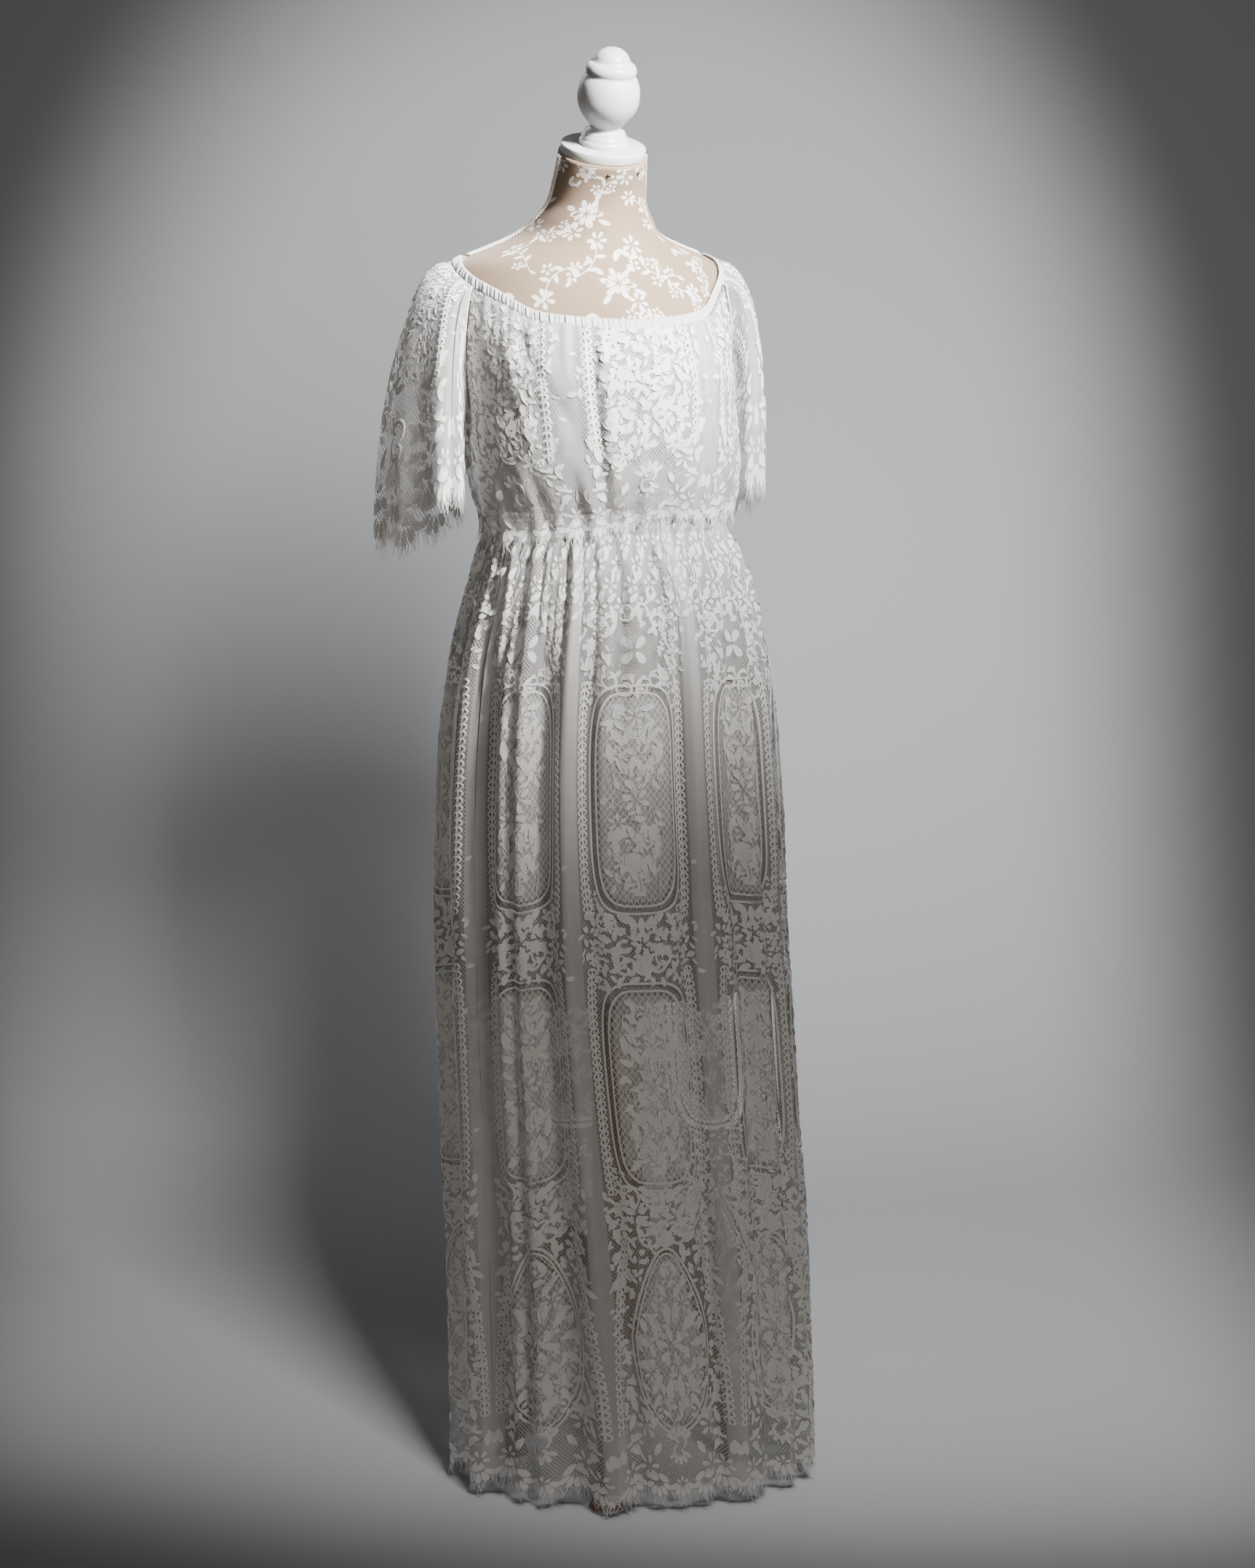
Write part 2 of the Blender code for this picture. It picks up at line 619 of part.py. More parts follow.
def bodice_lift(azimuth, z):
    """How far the bodice lace stands off the form."""
    places = [row.z for row in BODICE_EASE]
    lifts = {field: table_value(places, [getattr(row, field) for row in BODICE_EASE], z)
             for field in ("front", "side", "back")}
    forward = math.cos(math.radians(azimuth))
    end = lifts["front"] if forward > 0.0 else lifts["back"]
    return lifts["side"] + (end - lifts["side"]) * forward * forward


def bodice_hem_z(index):
    return BODICE_HEM_Z - BODICE_SCALLOP * abs(math.sin(math.pi * index / 4.0))


def bodice_gather(index, azimuth):
    """Columns stand out and sink in by turns, but not beside the armholes."""
    if abs(abs(wrapped(azimuth)) - ARMHOLE_AZIMUTH) <= ARMHOLE_HALF_WIDTH:
        return 0.0
    return BODICE_GATHER if index % 2 else -BODICE_GATHER


def bodice_column(index, azimuth, inset):
    """Points down one column of the bodice lace, gathered in turn below its top edge."""
    top, hem = bodice_top_z(azimuth), bodice_hem_z(index)
    column = []
    for share in BODICE_ROWS:
        z = top + (hem - top) * share
        gather = bodice_gather(index, azimuth) * math.sin(math.pi * share) ** 2
        lift = max(bodice_lift(azimuth, z) + gather, LACE_LIFT_AT_CASING)
        column.append(form_point(azimuth, z, lift - inset))
    return column


def half_of(azimuths, front):
    """Indices of the columns of the front or the back half, both side seams included."""
    count = len(azimuths)
    sides = [azimuths.index(-ARMHOLE_AZIMUTH), azimuths.index(ARMHOLE_AZIMUTH)]
    if front:
        return list(range(sides[0], sides[1] + 1))
    return [index % count for index in range(sides[1], sides[0] + count + 1)]


def build_bodice():
    azimuths = bodice_azimuths()
    for name, front in (("bodice_front", True), ("bodice_back", False)):
        indices = half_of(azimuths, front)
        outer = [bodice_column(index, azimuths[index], 0.0) for index in indices]
        inner = [bodice_column(index, azimuths[index], LACE_THICKNESS) for index in indices]
        wall(name, part_ends(outer), part_ends(inner), "lace_cotton")


def build_neck_casing():
    azimuths = bodice_azimuths()
    skins = []
    for lift in (CASING_LIFT + CASING_THICKNESS, CASING_LIFT):
        skin = []
        for azimuth in azimuths:
            middle = neckline_z(azimuth)
            edges = [down_the_form(azimuth, middle, share * CASING_HALF_WIDTH) for share in (-1, 0, 1)]
            skin.append([form_point(azimuth, z, lift) for z in edges])
        skins.append(skin)
    wall("neck_casing", skins[0], skins[1], "lining_cotton", closed=True)


def build_bodice_lining():
    """Opaque lining under the bodice lace, from the casing to the waist casing."""
    azimuths = bodice_azimuths()
    skins = []
    for inset in (0.0, LINING_THICKNESS):
        skin = []
        for azimuth in azimuths:
            place = abs(wrapped(azimuth))
            inside_armhole = abs(place - ARMHOLE_AZIMUTH) < ARMHOLE_HALF_WIDTH
            top = bodice_top_z(azimuth) - (LINING_ARMHOLE_DROP if inside_armhole else LINING_TOP_DROP)
            bottom = WAIST_TOP + SEAM_GAP
            column = []
            for share in BODICE_ROWS:
                lift = LINING_LIFT + LINING_EASE * math.sqrt(abs(math.sin(math.pi * share)))
                column.append(form_point(azimuth, top + (bottom - top) * share, lift - inset))
            skin.append(column)
        skins.append(skin)
    wall("lining_bodice", skins[0], skins[1], "lining_cotton", closed=True)


def build_waist_casing():
    azimuths = [WAIST_STEP * step for step in range(int(360.0 / WAIST_STEP))]
    skins = [[[form_point(azimuth, z, lift) for z in (WAIST_TOP, WAIST_BOTTOM)]
              for azimuth in azimuths] for lift in (WAIST_LIFT + CASING_THICKNESS, WAIST_LIFT)]
    wall("waist_casing", skins[0], skins[1], "lining_cotton", closed=True)


# Skirt

def fold_places(z):
    """Azimuth and offset of every fold at a height."""
    towards_hem = min(1.0, max(0.0, (HIP_Z - z) / HIP_Z))
    strength = 1.0 - smooth_step(HIP_Z, FOLDS_START_Z, z)
    return [(fold.hip_azimuth + (fold.hem_azimuth - fold.hip_azimuth) * towards_hem ** 1.5,
             (fold.hip + (fold.hem - fold.hip) * towards_hem) * strength) for fold in SKIRT_FOLDS]


def skirt_place(column, z):
    """Azimuth and offset at a column number, counted in half folds round the skirt."""
    places = fold_places(z)
    count = len(places)
    index = int(column // 2) % count
    share = (column % 2) / 2.0
    here, beyond = places[index], places[(index + 1) % count]
    span = (beyond[0] - here[0]) % 360.0
    rise = 0.5 - 0.5 * math.cos(math.pi * share)
    gathered = (smooth_step(SKIRT_TOP, FOLDS_START_Z, z)
                * (1.0 - smooth_step(FOLDS_START_Z, GATHERS_END_Z, z)))
    gather = SKIRT_GATHER * gathered * math.cos(math.pi * column)
    return here[0] + span * share, here[1] + (beyond[1] - here[1]) * rise, gather


def skirt_point(column, z, inset):
    azimuth, offset, gather = skirt_place(column, z)
    point = section_point(section_at(SKIRT_SECTIONS, z), azimuth)
    outward = Vector((math.sin(math.radians(azimuth)), -math.cos(math.radians(azimuth)), 0.0))
    return point + outward * (offset + gather - inset)


def skirt_normal(column, z):
    around = skirt_point(column + 0.5, z, 0.0) - skirt_point(column - 0.5, z, 0.0)
    upward = skirt_point(column, z + 0.01, 0.0) - skirt_point(column, z - 0.01, 0.0)
    return around.cross(upward).normalized()


def hem_z(column):
    offset = skirt_place(column, 0.0)[1]
    return HEM_Z - HEM_DROP_ON_RIDGES * offset - HEM_SCALLOP * abs(math.sin(math.pi * column / 4.0))


def skirt_column(column, inset):
    """Points down one column, moved in along the cloth's own normal."""
    heights = list(SKIRT_ROWS) + [hem_z(column)]
    return [skirt_point(column, z, 0.0) - skirt_normal(column, z) * inset if z < SKIRT_TOP
            else skirt_point(column, z, inset) for z in heights]


def cloth_shares(columns, z):
    """How far each column lies along the cloth, as a share of the whole width."""
    lengths = [0.0]
    for column in range(columns):
        lengths.append(lengths[-1] + (skirt_point(column + 1, z, 0.0)
                                      - skirt_point(column, z, 0.0)).length)
    return [length / lengths[-1] for length in lengths]


def gap_outline(corners, place):
    """A pointed gap of a real size at a place down the middle of its cell."""
    half_u = GAP_WIDTH / (corners[3] - corners[0]).length / 2.0
    half_v = GAP_HEIGHT / (corners[1] - corners[0]).length / 2.0
    return [(0.5, place - half_v), (0.5 - half_u, place), (0.5, place + half_v),
            (0.5 + half_u, place)]


def cell_corners(grid, column, row):
    return (grid[column][row], grid[column][row + 1], grid[column + 1][row + 1],
            grid[column + 1][row])


def takes_gap(corners):
    """Whether a cell is wide enough and flat enough to be cut through."""
    width = min((corners[3] - corners[0]).length, (corners[2] - corners[1]).length)
    twist = (corners[0] + corners[2] - corners[1] - corners[3]).length / 4.0
    return width > NARROWEST_GAP_CELL and twist < LARGEST_GAP_TWIST


def skirt_gaps(numbers, inner, shares, centre_share):
    """The gaps of the cells that lie in a window of the lace repeat."""
    gaps = {}
    for index, column in enumerate(numbers[:-1]):
        middle = (shares[column] + shares[column + 1]) / 2.0
        repeat = ((middle - centre_share) * LACE_REPEATS + 0.5) % 1.0 - 0.5
        if abs(repeat) > WINDOW_HALF_SHARE:
            continue
        for row in WINDOW_ROWS:
            corners = cell_corners(inner, index, row)
            if takes_gap(corners):
                place = 0.30 + 0.40 * (column % 2)
                gaps[(index, row)] = [gap_outline(corners, place)]
    return gaps


def build_skirt():
    columns = 2 * len(SKIRT_FOLDS)
    shares = cloth_shares(columns, SKIRT_ROWS[6])
    centre_fold = [fold.hip_azimuth for fold in SKIRT_FOLDS].index(REPEAT_CENTRE_AZIMUTH)
    side_folds = [min(range(len(SKIRT_FOLDS)), key=lambda index: abs(
        SKIRT_FOLDS[index].hip_azimuth - side)) for side in (-90.0, 90.0)]
    front = list(range(2 * side_folds[0], 2 * side_folds[1] + 1))
    back = [column % columns for column in range(front[-1], front[0] + columns + 1)]
    for name, numbers in (("skirt_front", front), ("skirt_back", back)):
        outer = [skirt_column(column, 0.0) for column in numbers]
        inner = [skirt_column(column, LACE_THICKNESS) for column in numbers]
        gaps = skirt_gaps(numbers, inner, shares, shares[2 * centre_fold])
        wall(name, part_ends(outer), part_ends(inner), "lace_cotton", gaps=gaps)
        fringe(name.replace("skirt", "hem_fringe"), part_ends(outer, STRIP_END_GAP),
               HEM_STRAND_LENGTHS, (0.0, 0.0, -1.0), LOWEST_STRAND_Z)


def lining_point(column, z, depth):
    """The skirt lining follows the lace's valleys, and part of its ridges, from inside."""
    azimuth, offset, _ = skirt_place(column, z)
    point = section_point(section_at(SKIRT_SECTIONS, z), azimuth)
    outward = Vector((math.sin(math.radians(azimuth)), -math.cos(math.radians(azimuth)), 0.0))
    if offset > 0.0:
        offset *= SKIRT_LINING_RIDGE_SHARE
    share = min(1.0, (SKIRT_TOP - z) / (SKIRT_TOP - LINING_CLEAR_Z))
    inset = SKIRT_LINING_INSET_AT_TOP + (SKIRT_LINING_INSET - SKIRT_LINING_INSET_AT_TOP) * share
    return point + outward * (offset - inset - depth)


def build_skirt_lining():
    numbers = range(0, 2 * len(SKIRT_FOLDS), 2)
    outer = [[lining_point(column, z, 0.0) for z in SKIRT_LINING_ROWS] for column in numbers]
    inner = [[lining_point(column, z, LINING_THICKNESS) for z in SKIRT_LINING_ROWS]
             for column in numbers]
    wall("lining_skirt", outer, inner, "lining_cotton", closed=True)


# Sleeves

def armhole_point(turn):
    """A point of the armhole's edge: 0 at the shoulder, a quarter turn at the front."""
    quarters = turn / (math.pi / 2.0) % 4.0
    reach = 1.0 - abs(quarters % 2.0 - 1.0)
    azimuth = ARMHOLE_AZIMUTH + ARMHOLE_HALF_WIDTH * reach * (-1.0 if quarters < 2.0 else 1.0)
    if math.cos(turn) > 0.01:
        z = down_the_form(azimuth, neckline_z(azimuth), CASING_HALF_WIDTH + SLEEVE_SEAM_GAP)
        return form_point(azimuth, z, LACE_LIFT_AT_CASING - LACE_THICKNESS * 0.5)
    z = bodice_top_z(azimuth)
    return form_point(azimuth, z, bodice_lift(azimuth, z) + SLEEVE_START)


def sleeve_hem_point(hem, turn):
    across, forward = hem.half_x * math.cos(turn), -hem.half_y * math.sin(turn)
    tilt = math.radians(hem.turn)
    x = hem.centre_x + across * math.cos(tilt) + forward * math.sin(tilt)
    y = hem.centre_y - across * math.sin(tilt) + forward * math.cos(tilt)
    z = hem.z + hem.front_rise * math.sin(turn) + hem.outer_rise * math.cos(turn)
    scallop = SLEEVE_SCALLOP * abs(math.sin(turn * SLEEVE_COLUMNS / 8.0))
    return Vector((x, y, z - scallop))


def sleeve_middle(hem, turn, share):
    """The middle of the sleeve's wall: a curve from the armhole to the hem, with soft folds."""
    over = 0.5 + 0.5 * math.cos(turn)
    start = armhole_point(turn)
    end = sleeve_hem_point(hem, turn - math.radians(SLEEVE_TWIST) * (1.0 - over))
    first = start + Vector((0.004 + 0.044 * over, -0.020 * math.sin(turn), -0.010 + 0.014 * over))
    second = Vector((end.x + 0.004 * over, end.y, end.z + (start.z - end.z) * 0.62))
    weights = ((1 - share) ** 3, 3 * share * (1 - share) ** 2, 3 * share ** 2 * (1 - share),
               share ** 3)
    point = sum((weight * knot for weight, knot in zip(weights, (start, first, second, end))),
                Vector())
    position = (turn / math.tau * len(SLEEVE_FOLDS)) % len(SLEEVE_FOLDS)
    index = int(position) % len(SLEEVE_FOLDS)
    blend = smooth_step(0.0, 1.0, position - int(position))
    fold = SLEEVE_FOLDS[index] * (1 - blend) + SLEEVE_FOLDS[(index + 1) % len(SLEEVE_FOLDS)] * blend
    outward = Vector((math.cos(turn), -math.sin(turn), 0.0))
    return point + outward * (fold * SLEEVE_FOLD * (0.35 + 0.65 * over) * share ** 1.3)


def sleeve_wall_point(hem, turn, share, lift):
    middle = min(max(share, 0.08), 0.98)
    along = sleeve_middle(hem, turn, middle + 0.02) - sleeve_middle(hem, turn, middle - 0.02)
    around = sleeve_middle(hem, turn - 0.15, middle) - sleeve_middle(hem, turn + 0.15, middle)
    normal = along.cross(around).normalized()
    return sleeve_middle(hem, turn, share) + normal * lift


def mirrored(grid, side):
    """A grid on the wearer's right is the left one's mirror image, in the other order."""
    if side > 0.0:
        return grid
    return [[Vector((-point.x, point.y, point.z)) for point in column] for column in reversed(grid)]


def sleeve_gaps(grid):
    """Gaps in every second cell of the rows of open lace, where the cells are wide enough."""
    gaps = {}
    for row in SLEEVE_GAP_ROWS:
        for column in range(1 + row % 2, len(grid) - 2, 2):
            corners = cell_corners(grid, column, row)
            if takes_gap(corners):
                gaps[(column, row)] = [gap_outline(corners, 0.5)]
    return gaps


def build_sleeves():
    """Each sleeve is a front and a back wall that meet over the shoulder and under the arm."""
    half = SLEEVE_COLUMNS // 2
    for side_name, hem in SLEEVE_HEMS.items():
        for end_name, first in (("front", 0), ("back", half)):
            turns = [math.tau * (first + step) / SLEEVE_COLUMNS for step in range(half + 1)]
            turns.reverse()
            skins = [mirrored([[sleeve_wall_point(hem, turn, share, lift) for share in SLEEVE_ROWS]
                               for turn in turns], hem.side)
                     for lift in (LACE_THICKNESS * 0.5, -LACE_THICKNESS * 0.5)]
            name = f"sleeve_{side_name}_{end_name}"
            outer, inner = (part_ends(skin, SLEEVE_HALF_GAP) for skin in skins)
            wall(name, outer, inner, "lace_cotton", gaps=sleeve_gaps(outer))
            fringe(f"sleeve_fringe_{side_name}_{end_name}", part_ends(skins[0], STRIP_END_GAP),
                   SLEEVE_STRAND_LENGTHS, (0.0, 0.0, -1.0), LOWEST_STRAND_Z)


# Fringe

def fringe(name, grid, lengths, fall, lowest, every=1):
    """A narrow strip outside a wall's hem, with a pointed strand in each of its cells."""
    fall = Vector(fall)
    sections, strands = [], []
    for index, column in enumerate(grid):
        sections.append(strip_section(grid, index, index, 0.0))
        width = (grid[min(index + 1, len(grid) - 1)][-1] - column[-1]).length
        if width > 2.0 * STRAND_WIDTH and index % every == 0:
            sections.append(strip_section(grid, index, index + 1, 1.0 - STRAND_WIDTH / width))
            strands.append(len(sections) - 1)
    builder = bmesh.new()
    rows = [[builder.verts.new(point) for point in section] for section in sections]
    for place, (here, beyond) in enumerate(zip(rows, rows[1:])):
        for one, two in ((0, 1), (2, 0)):
            builder.faces.new((here[one], here[two], beyond[two], beyond[one]))
        if place in strands:
            middle = sum((vertex.co for vertex in (here[1], here[2], beyond[1], beyond[2])),
                         Vector()) / 4.0
            outward = (here[1].co - here[2].co).normalized()
            length = min(lengths[place % len(lengths)], middle.z - lowest)
            lean = outward * (0.15 + 0.05 * (place % 3))
            tip = builder.verts.new(middle + (fall + lean) * length)
            ring = (here[1], here[2], beyond[2], beyond[1])
            for one in range(4):
                builder.faces.new((ring[one], ring[(one + 1) % 4], tip))
        else:
            builder.faces.new((here[1], here[2], beyond[2], beyond[1]))
    builder.faces.new(rows[0])
    builder.faces.new(rows[-1])
    bmesh.ops.triangulate(builder, faces=builder.faces)
    add_object(name, builder, "lace_cotton")


def strip_section(grid, index, beyond, share):
    """The top, outer and inner points of the strip at a share of the way to the next column."""
    hem = grid[index][-1].lerp(grid[beyond][-1], share)
    above = grid[index][-2].lerp(grid[beyond][-2], share)
    before, after = max(index - 1, 0), min(index + 1, len(grid) - 1)
    if share > 0.0:
        before, after = index, beyond
    up = (above - hem).normalized()
    outward = (grid[after][-1] - grid[before][-1]).cross(up).normalized()
    seat = hem + outward * FRINGE_GAP
    return seat + up * FRINGE_HEIGHT, seat + outward * FRINGE_THICKNESS, seat


def build_waist_fringe():
    """Frayed edge of the bodice hem, over the gathered skirt."""
    azimuths = bodice_azimuths()
    for name, front in (("waist_fringe_front", True), ("waist_fringe_back", False)):
        grid = [bodice_column(index, azimuths[index], 0.0) for index in half_of(azimuths, front)]
        fringe(name, part_ends(grid, STRIP_END_GAP), WAIST_STRAND_LENGTHS, (0.0, 0.0, -1.0),
               LOWEST_STRAND_Z, every=2)


def centre_over_origin():
    """Move everything sideways so that the middle of the whole lies over the origin."""
    corners = [vertex.co for scene_object in bpy.data.objects
               for vertex in scene_object.data.vertices]
    middle_x = (min(corner.x for corner in corners) + max(corner.x for corner in corners)) / 2.0
    middle_y = (min(corner.y for corner in corners) + max(corner.y for corner in corners)) / 2.0
    for scene_object in bpy.data.objects:
        scene_object.data.transform(Matrix.Translation((-middle_x, -middle_y, 0.0)))


def main():
    clear_scene()
    build_form()
    build_cap_and_finial()
    build_tacks()
    build_braids()
    build_stand()
    build_neck_casing()
    build_bodice_lining()
    build_bodice()
    build_waist_casing()
    build_waist_fringe()
    build_skirt_lining()
    build_skirt()
    build_sleeves()
    centre_over_origin()


main()
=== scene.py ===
"""Lace wedding dress on a limbless dress form with a turned finial and a wooden tripod.

Metres, +Z up. The form faces -Y and the wearer's left is +X. A place on the cloth is given flat,
as metres across from the middle of a lace column and metres up from the hem, and each cloth's
surface bends it into space.
"""

import logging
import math
import random
from dataclasses import dataclass, field
from enum import Enum
from typing import Callable, Iterable, Sequence

import bmesh
import bpy
import numpy as np
from mathutils import Matrix, Vector

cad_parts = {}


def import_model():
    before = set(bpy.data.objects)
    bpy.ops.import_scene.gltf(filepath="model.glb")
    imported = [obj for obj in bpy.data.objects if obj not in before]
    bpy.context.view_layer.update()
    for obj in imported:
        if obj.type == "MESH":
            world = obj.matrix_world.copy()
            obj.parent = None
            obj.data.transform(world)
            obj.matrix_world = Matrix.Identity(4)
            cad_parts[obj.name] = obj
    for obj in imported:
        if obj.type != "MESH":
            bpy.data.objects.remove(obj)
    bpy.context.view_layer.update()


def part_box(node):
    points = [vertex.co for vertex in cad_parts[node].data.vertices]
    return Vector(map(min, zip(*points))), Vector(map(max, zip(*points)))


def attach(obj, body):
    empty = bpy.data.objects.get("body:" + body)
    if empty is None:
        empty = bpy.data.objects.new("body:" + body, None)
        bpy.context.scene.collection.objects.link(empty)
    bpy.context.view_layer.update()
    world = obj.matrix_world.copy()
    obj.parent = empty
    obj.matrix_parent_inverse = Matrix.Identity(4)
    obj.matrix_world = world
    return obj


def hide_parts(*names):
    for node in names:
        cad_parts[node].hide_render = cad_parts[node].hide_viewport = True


LOG = logging.getLogger("lace_dress")
Values = np.ndarray
Point = tuple[float, float]
Triple = tuple[float, float, float]
Mesh, Piece, Shape = bpy.types.Mesh, bpy.types.Object, bmesh.types.BMesh
Node, NodeTree, Socket = bpy.types.Node, bpy.types.NodeTree, bpy.types.NodeSocket
TAU = math.tau


class Hold(Enum):
    """How a sheet of cloth is held."""

    HUNG = "hung"
    GATHERED = "gathered"


class Panel(Enum):
    """The parts of the dress that a lace repeat is drawn for."""

    SKIRT = "skirt"
    UPPER = "bodice and sleeves"


class Side(Enum):
    """The wearer's sides, with the direction of +X for each."""

    LEFT = 1.0
    RIGHT = -1.0


def smooth_step(low: float, high: float, value: Values) -> Values:
    """A soft rise from 0 at low to 1 at high."""
    share = np.clip((value - low) / (high - low), 0.0, 1.0)
    return share * share * (3.0 - 2.0 * share)


def table_value(places: Sequence[float], values: Sequence[float], place: Values) -> Values:
    """A smooth curve through a table, flat beyond its ends.

    Args:
        places: Rising places of the table's rows.
        values: The value at each place.
        place: Where the curve is wanted.

    Returns:
        The curve's values.
    """
    p, v = np.asarray(places, float), np.asarray(values, float)
    slopes = np.empty_like(v)
    slopes[1:-1] = (v[2:] - v[:-2]) / (p[2:] - p[:-2])
    slopes[0] = (v[1] - v[0]) / (p[1] - p[0])
    slopes[-1] = (v[-1] - v[-2]) / (p[-1] - p[-2])
    x = np.clip(place, p[0], p[-1])
    i = np.clip(np.searchsorted(p, x, side="right") - 1, 0, len(p) - 2)
    span = p[i + 1] - p[i]
    t = (x - p[i]) / span
    return ((2 * t ** 3 - 3 * t ** 2 + 1) * v[i] + (t ** 3 - 2 * t ** 2 + t) * span * slopes[i]
            + (-2 * t ** 3 + 3 * t ** 2) * v[i + 1] + (t ** 3 - t ** 2) * span * slopes[i + 1])


def uneven_waves(place: Values, pitch: float, phase: float) -> Values:
    """Gathers of uneven width and depth, between about -1 and 1."""
    turn = TAU * place / pitch
    return (0.5 * np.sin(turn + phase) + 0.3 * np.sin(turn * 1.618 + 2.1 * phase + 1.0)
            + 0.2 * np.sin(turn * 0.618 + 3.7 * phase))


@dataclass(frozen=True)
class Sections:
    """Rows of z, half width, front, side, back, power and middle x that make a body."""

    rows: tuple[tuple[float, ...], ...]

    def column(self, number: int, z: Values) -> Values:
        """One column of the table at any heights."""
        return table_value([row[0] for row in self.rows], [row[number] for row in self.rows], z)

    def reach(self, azimuth: Values, z: Values) -> tuple[Values, Values, Values]:
        """A point of the outline.

        Args:
            azimuth: Degrees round the body, 0 at the front.
            z: Heights.

        Returns:
            Its x and y, and the y of the widest line.
        """
        half_width, front, side, back, power, middle = (self.column(n, z) for n in range(1, 7))
        sideways, forward = np.sin(np.radians(azimuth)), np.cos(np.radians(azimuth))
        depth = np.where(forward > 0.0, side - front, back - side)
        reach = (np.abs(sideways / half_width) ** power
                 + np.abs(forward / depth) ** power) ** (-1.0 / power)
        return middle + reach * sideways, side - reach * forward, side


FORM = Sections((
    (0.720, 0.136, -0.096, 0.010, 0.110, 2.00, 0.0), (0.738, 0.147, -0.105, 0.010, 0.121, 2.00, 0.0),
    (0.800, 0.152, -0.108, 0.010, 0.126, 2.00, 0.0), (0.880, 0.155, -0.112, 0.010, 0.130, 2.00, 0.0),
    (0.980, 0.150, -0.112, 0.008, 0.124, 2.00, 0.0), (1.070, 0.140, -0.107, 0.006, 0.112, 2.00, 0.0),
    (1.135, 0.136, -0.103, 0.006, 0.106, 2.00, 0.0), (1.190, 0.139, -0.109, 0.020, 0.108, 2.00, 0.0),
    (1.250, 0.147, -0.122, 0.038, 0.118, 2.00, 0.0), (1.290, 0.151, -0.123, 0.050, 0.130, 1.95, 0.0),
    (1.330, 0.157, -0.107, 0.061, 0.142, 1.88, 0.0), (1.3555, 0.161, -0.092, 0.068, 0.148, 1.80, 0.0),
    (1.380, 0.164, -0.077, 0.076, 0.152, 1.70, 0.0), (1.400, 0.166, -0.063, 0.080, 0.153, 1.64, 0.0),
    (1.413, 0.164, -0.054, 0.082, 0.152, 1.64, 0.0), (1.425, 0.154, -0.046, 0.082, 0.148, 1.68, 0.0),
    (1.438, 0.122, -0.037, 0.080, 0.140, 1.74, 0.0), (1.448, 0.098, -0.031, 0.076, 0.130, 1.82, 0.0),
    (1.460, 0.080, -0.026, 0.066, 0.118, 1.92, 0.0), (1.475, 0.068, -0.023, 0.050, 0.106, 2.00, 0.0),
    (1.4915, 0.058, -0.022, 0.038, 0.094, 2.00, 0.0), (1.520, 0.0535, -0.027, 0.026, 0.079, 2.00, 0.0),
    (1.548, 0.0505, -0.036, 0.016, 0.068, 2.00, 0.0),
))
SKIRT = Sections((
    (0.000, 0.207, -0.203, -0.010, 0.200, 2.0, 0.030), (0.300, 0.206, -0.190, -0.006, 0.191, 2.0, 0.022),
    (0.600, 0.203, -0.176, 0.003, 0.182, 2.0, 0.009), (0.820, 0.199, -0.163, 0.006, 0.172, 2.0, 0.004),
    (0.960, 0.186, -0.152, 0.006, 0.158, 2.0, 0.004), (1.050, 0.165, -0.136, 0.006, 0.140, 2.0, 0.005),
    (1.100, 0.149, -0.117, 0.006, 0.120, 2.0, 0.001), (1.1217, 0.1412, -0.1082, 0.006, 0.1112, 2.0, 0.0),
))
# Skirt folds: azimuth at the hip and at the hem, and the offset at the hip and at the hem
FOLDS = np.array((
    (-174.0, -174.0, 0.006, 0.012), (-166.0, -165.0, -0.008, -0.013), (-157.0, -158.0, 0.006, 0.011),
    (-148.0, -147.0, -0.009, -0.015), (-139.0, -139.0, 0.007, 0.014), (-130.0, -129.0, -0.007, -0.012),
    (-121.0, -121.0, 0.006, 0.013), (-112.0, -111.0, -0.010, -0.016), (-103.0, -103.0, 0.007, 0.012),
    (-92.0, -93.0, -0.009, -0.014), (-79.0, -80.0, 0.009, 0.012), (-67.0, -68.0, -0.014, -0.017),
    (-60.0, -60.0, 0.005, 0.006), (-56.5, -55.5, -0.003, -0.003), (-53.0, -51.0, 0.006, 0.008),
    (-46.0, -41.0, -0.016, -0.018), (-36.0, -26.0, 0.008, 0.022), (-29.5, -16.5, -0.008, -0.013),
    (-22.0, -11.0, 0.002, -0.001), (-10.0, -3.0, 0.004, 0.001), (3.0, 6.0, 0.002, 0.001),
    (10.0, 13.0, -0.010, -0.012), (15.0, 18.5, 0.005, 0.010), (25.0, 27.5, 0.001, 0.005),
    (36.5, 38.0, -0.011, -0.013), (43.5, 45.0, 0.006, 0.009), (50.5, 51.5, -0.006, -0.008),
    (58.0, 58.5, 0.007, 0.010), (67.0, 67.0, -0.007, -0.010), (76.0, 76.0, 0.006, 0.010),
    (86.0, 86.0, -0.007, -0.011), (95.0, 95.0, 0.007, 0.012), (104.0, 104.0, -0.008, -0.013),
    (113.0, 113.0, 0.006, 0.012), (122.0, 122.0, -0.007, -0.014), (132.0, 132.0, 0.008, 0.014),
    (142.0, 142.0, -0.008, -0.013), (153.0, 152.0, 0.006, 0.011), (163.0, 163.0, -0.007, -0.014),
    (175.5, 175.0, 0.003, 0.002),
))
NECKLINE = (
    (0, 15, 27, 39, 47, 57, 72, 90, 108, 130, 150, 180),
    (1.3555, 1.3575, 1.360, 1.364, 1.371, 1.384, 1.4015, 1.4245, 1.416, 1.400, 1.391, 1.388),
)
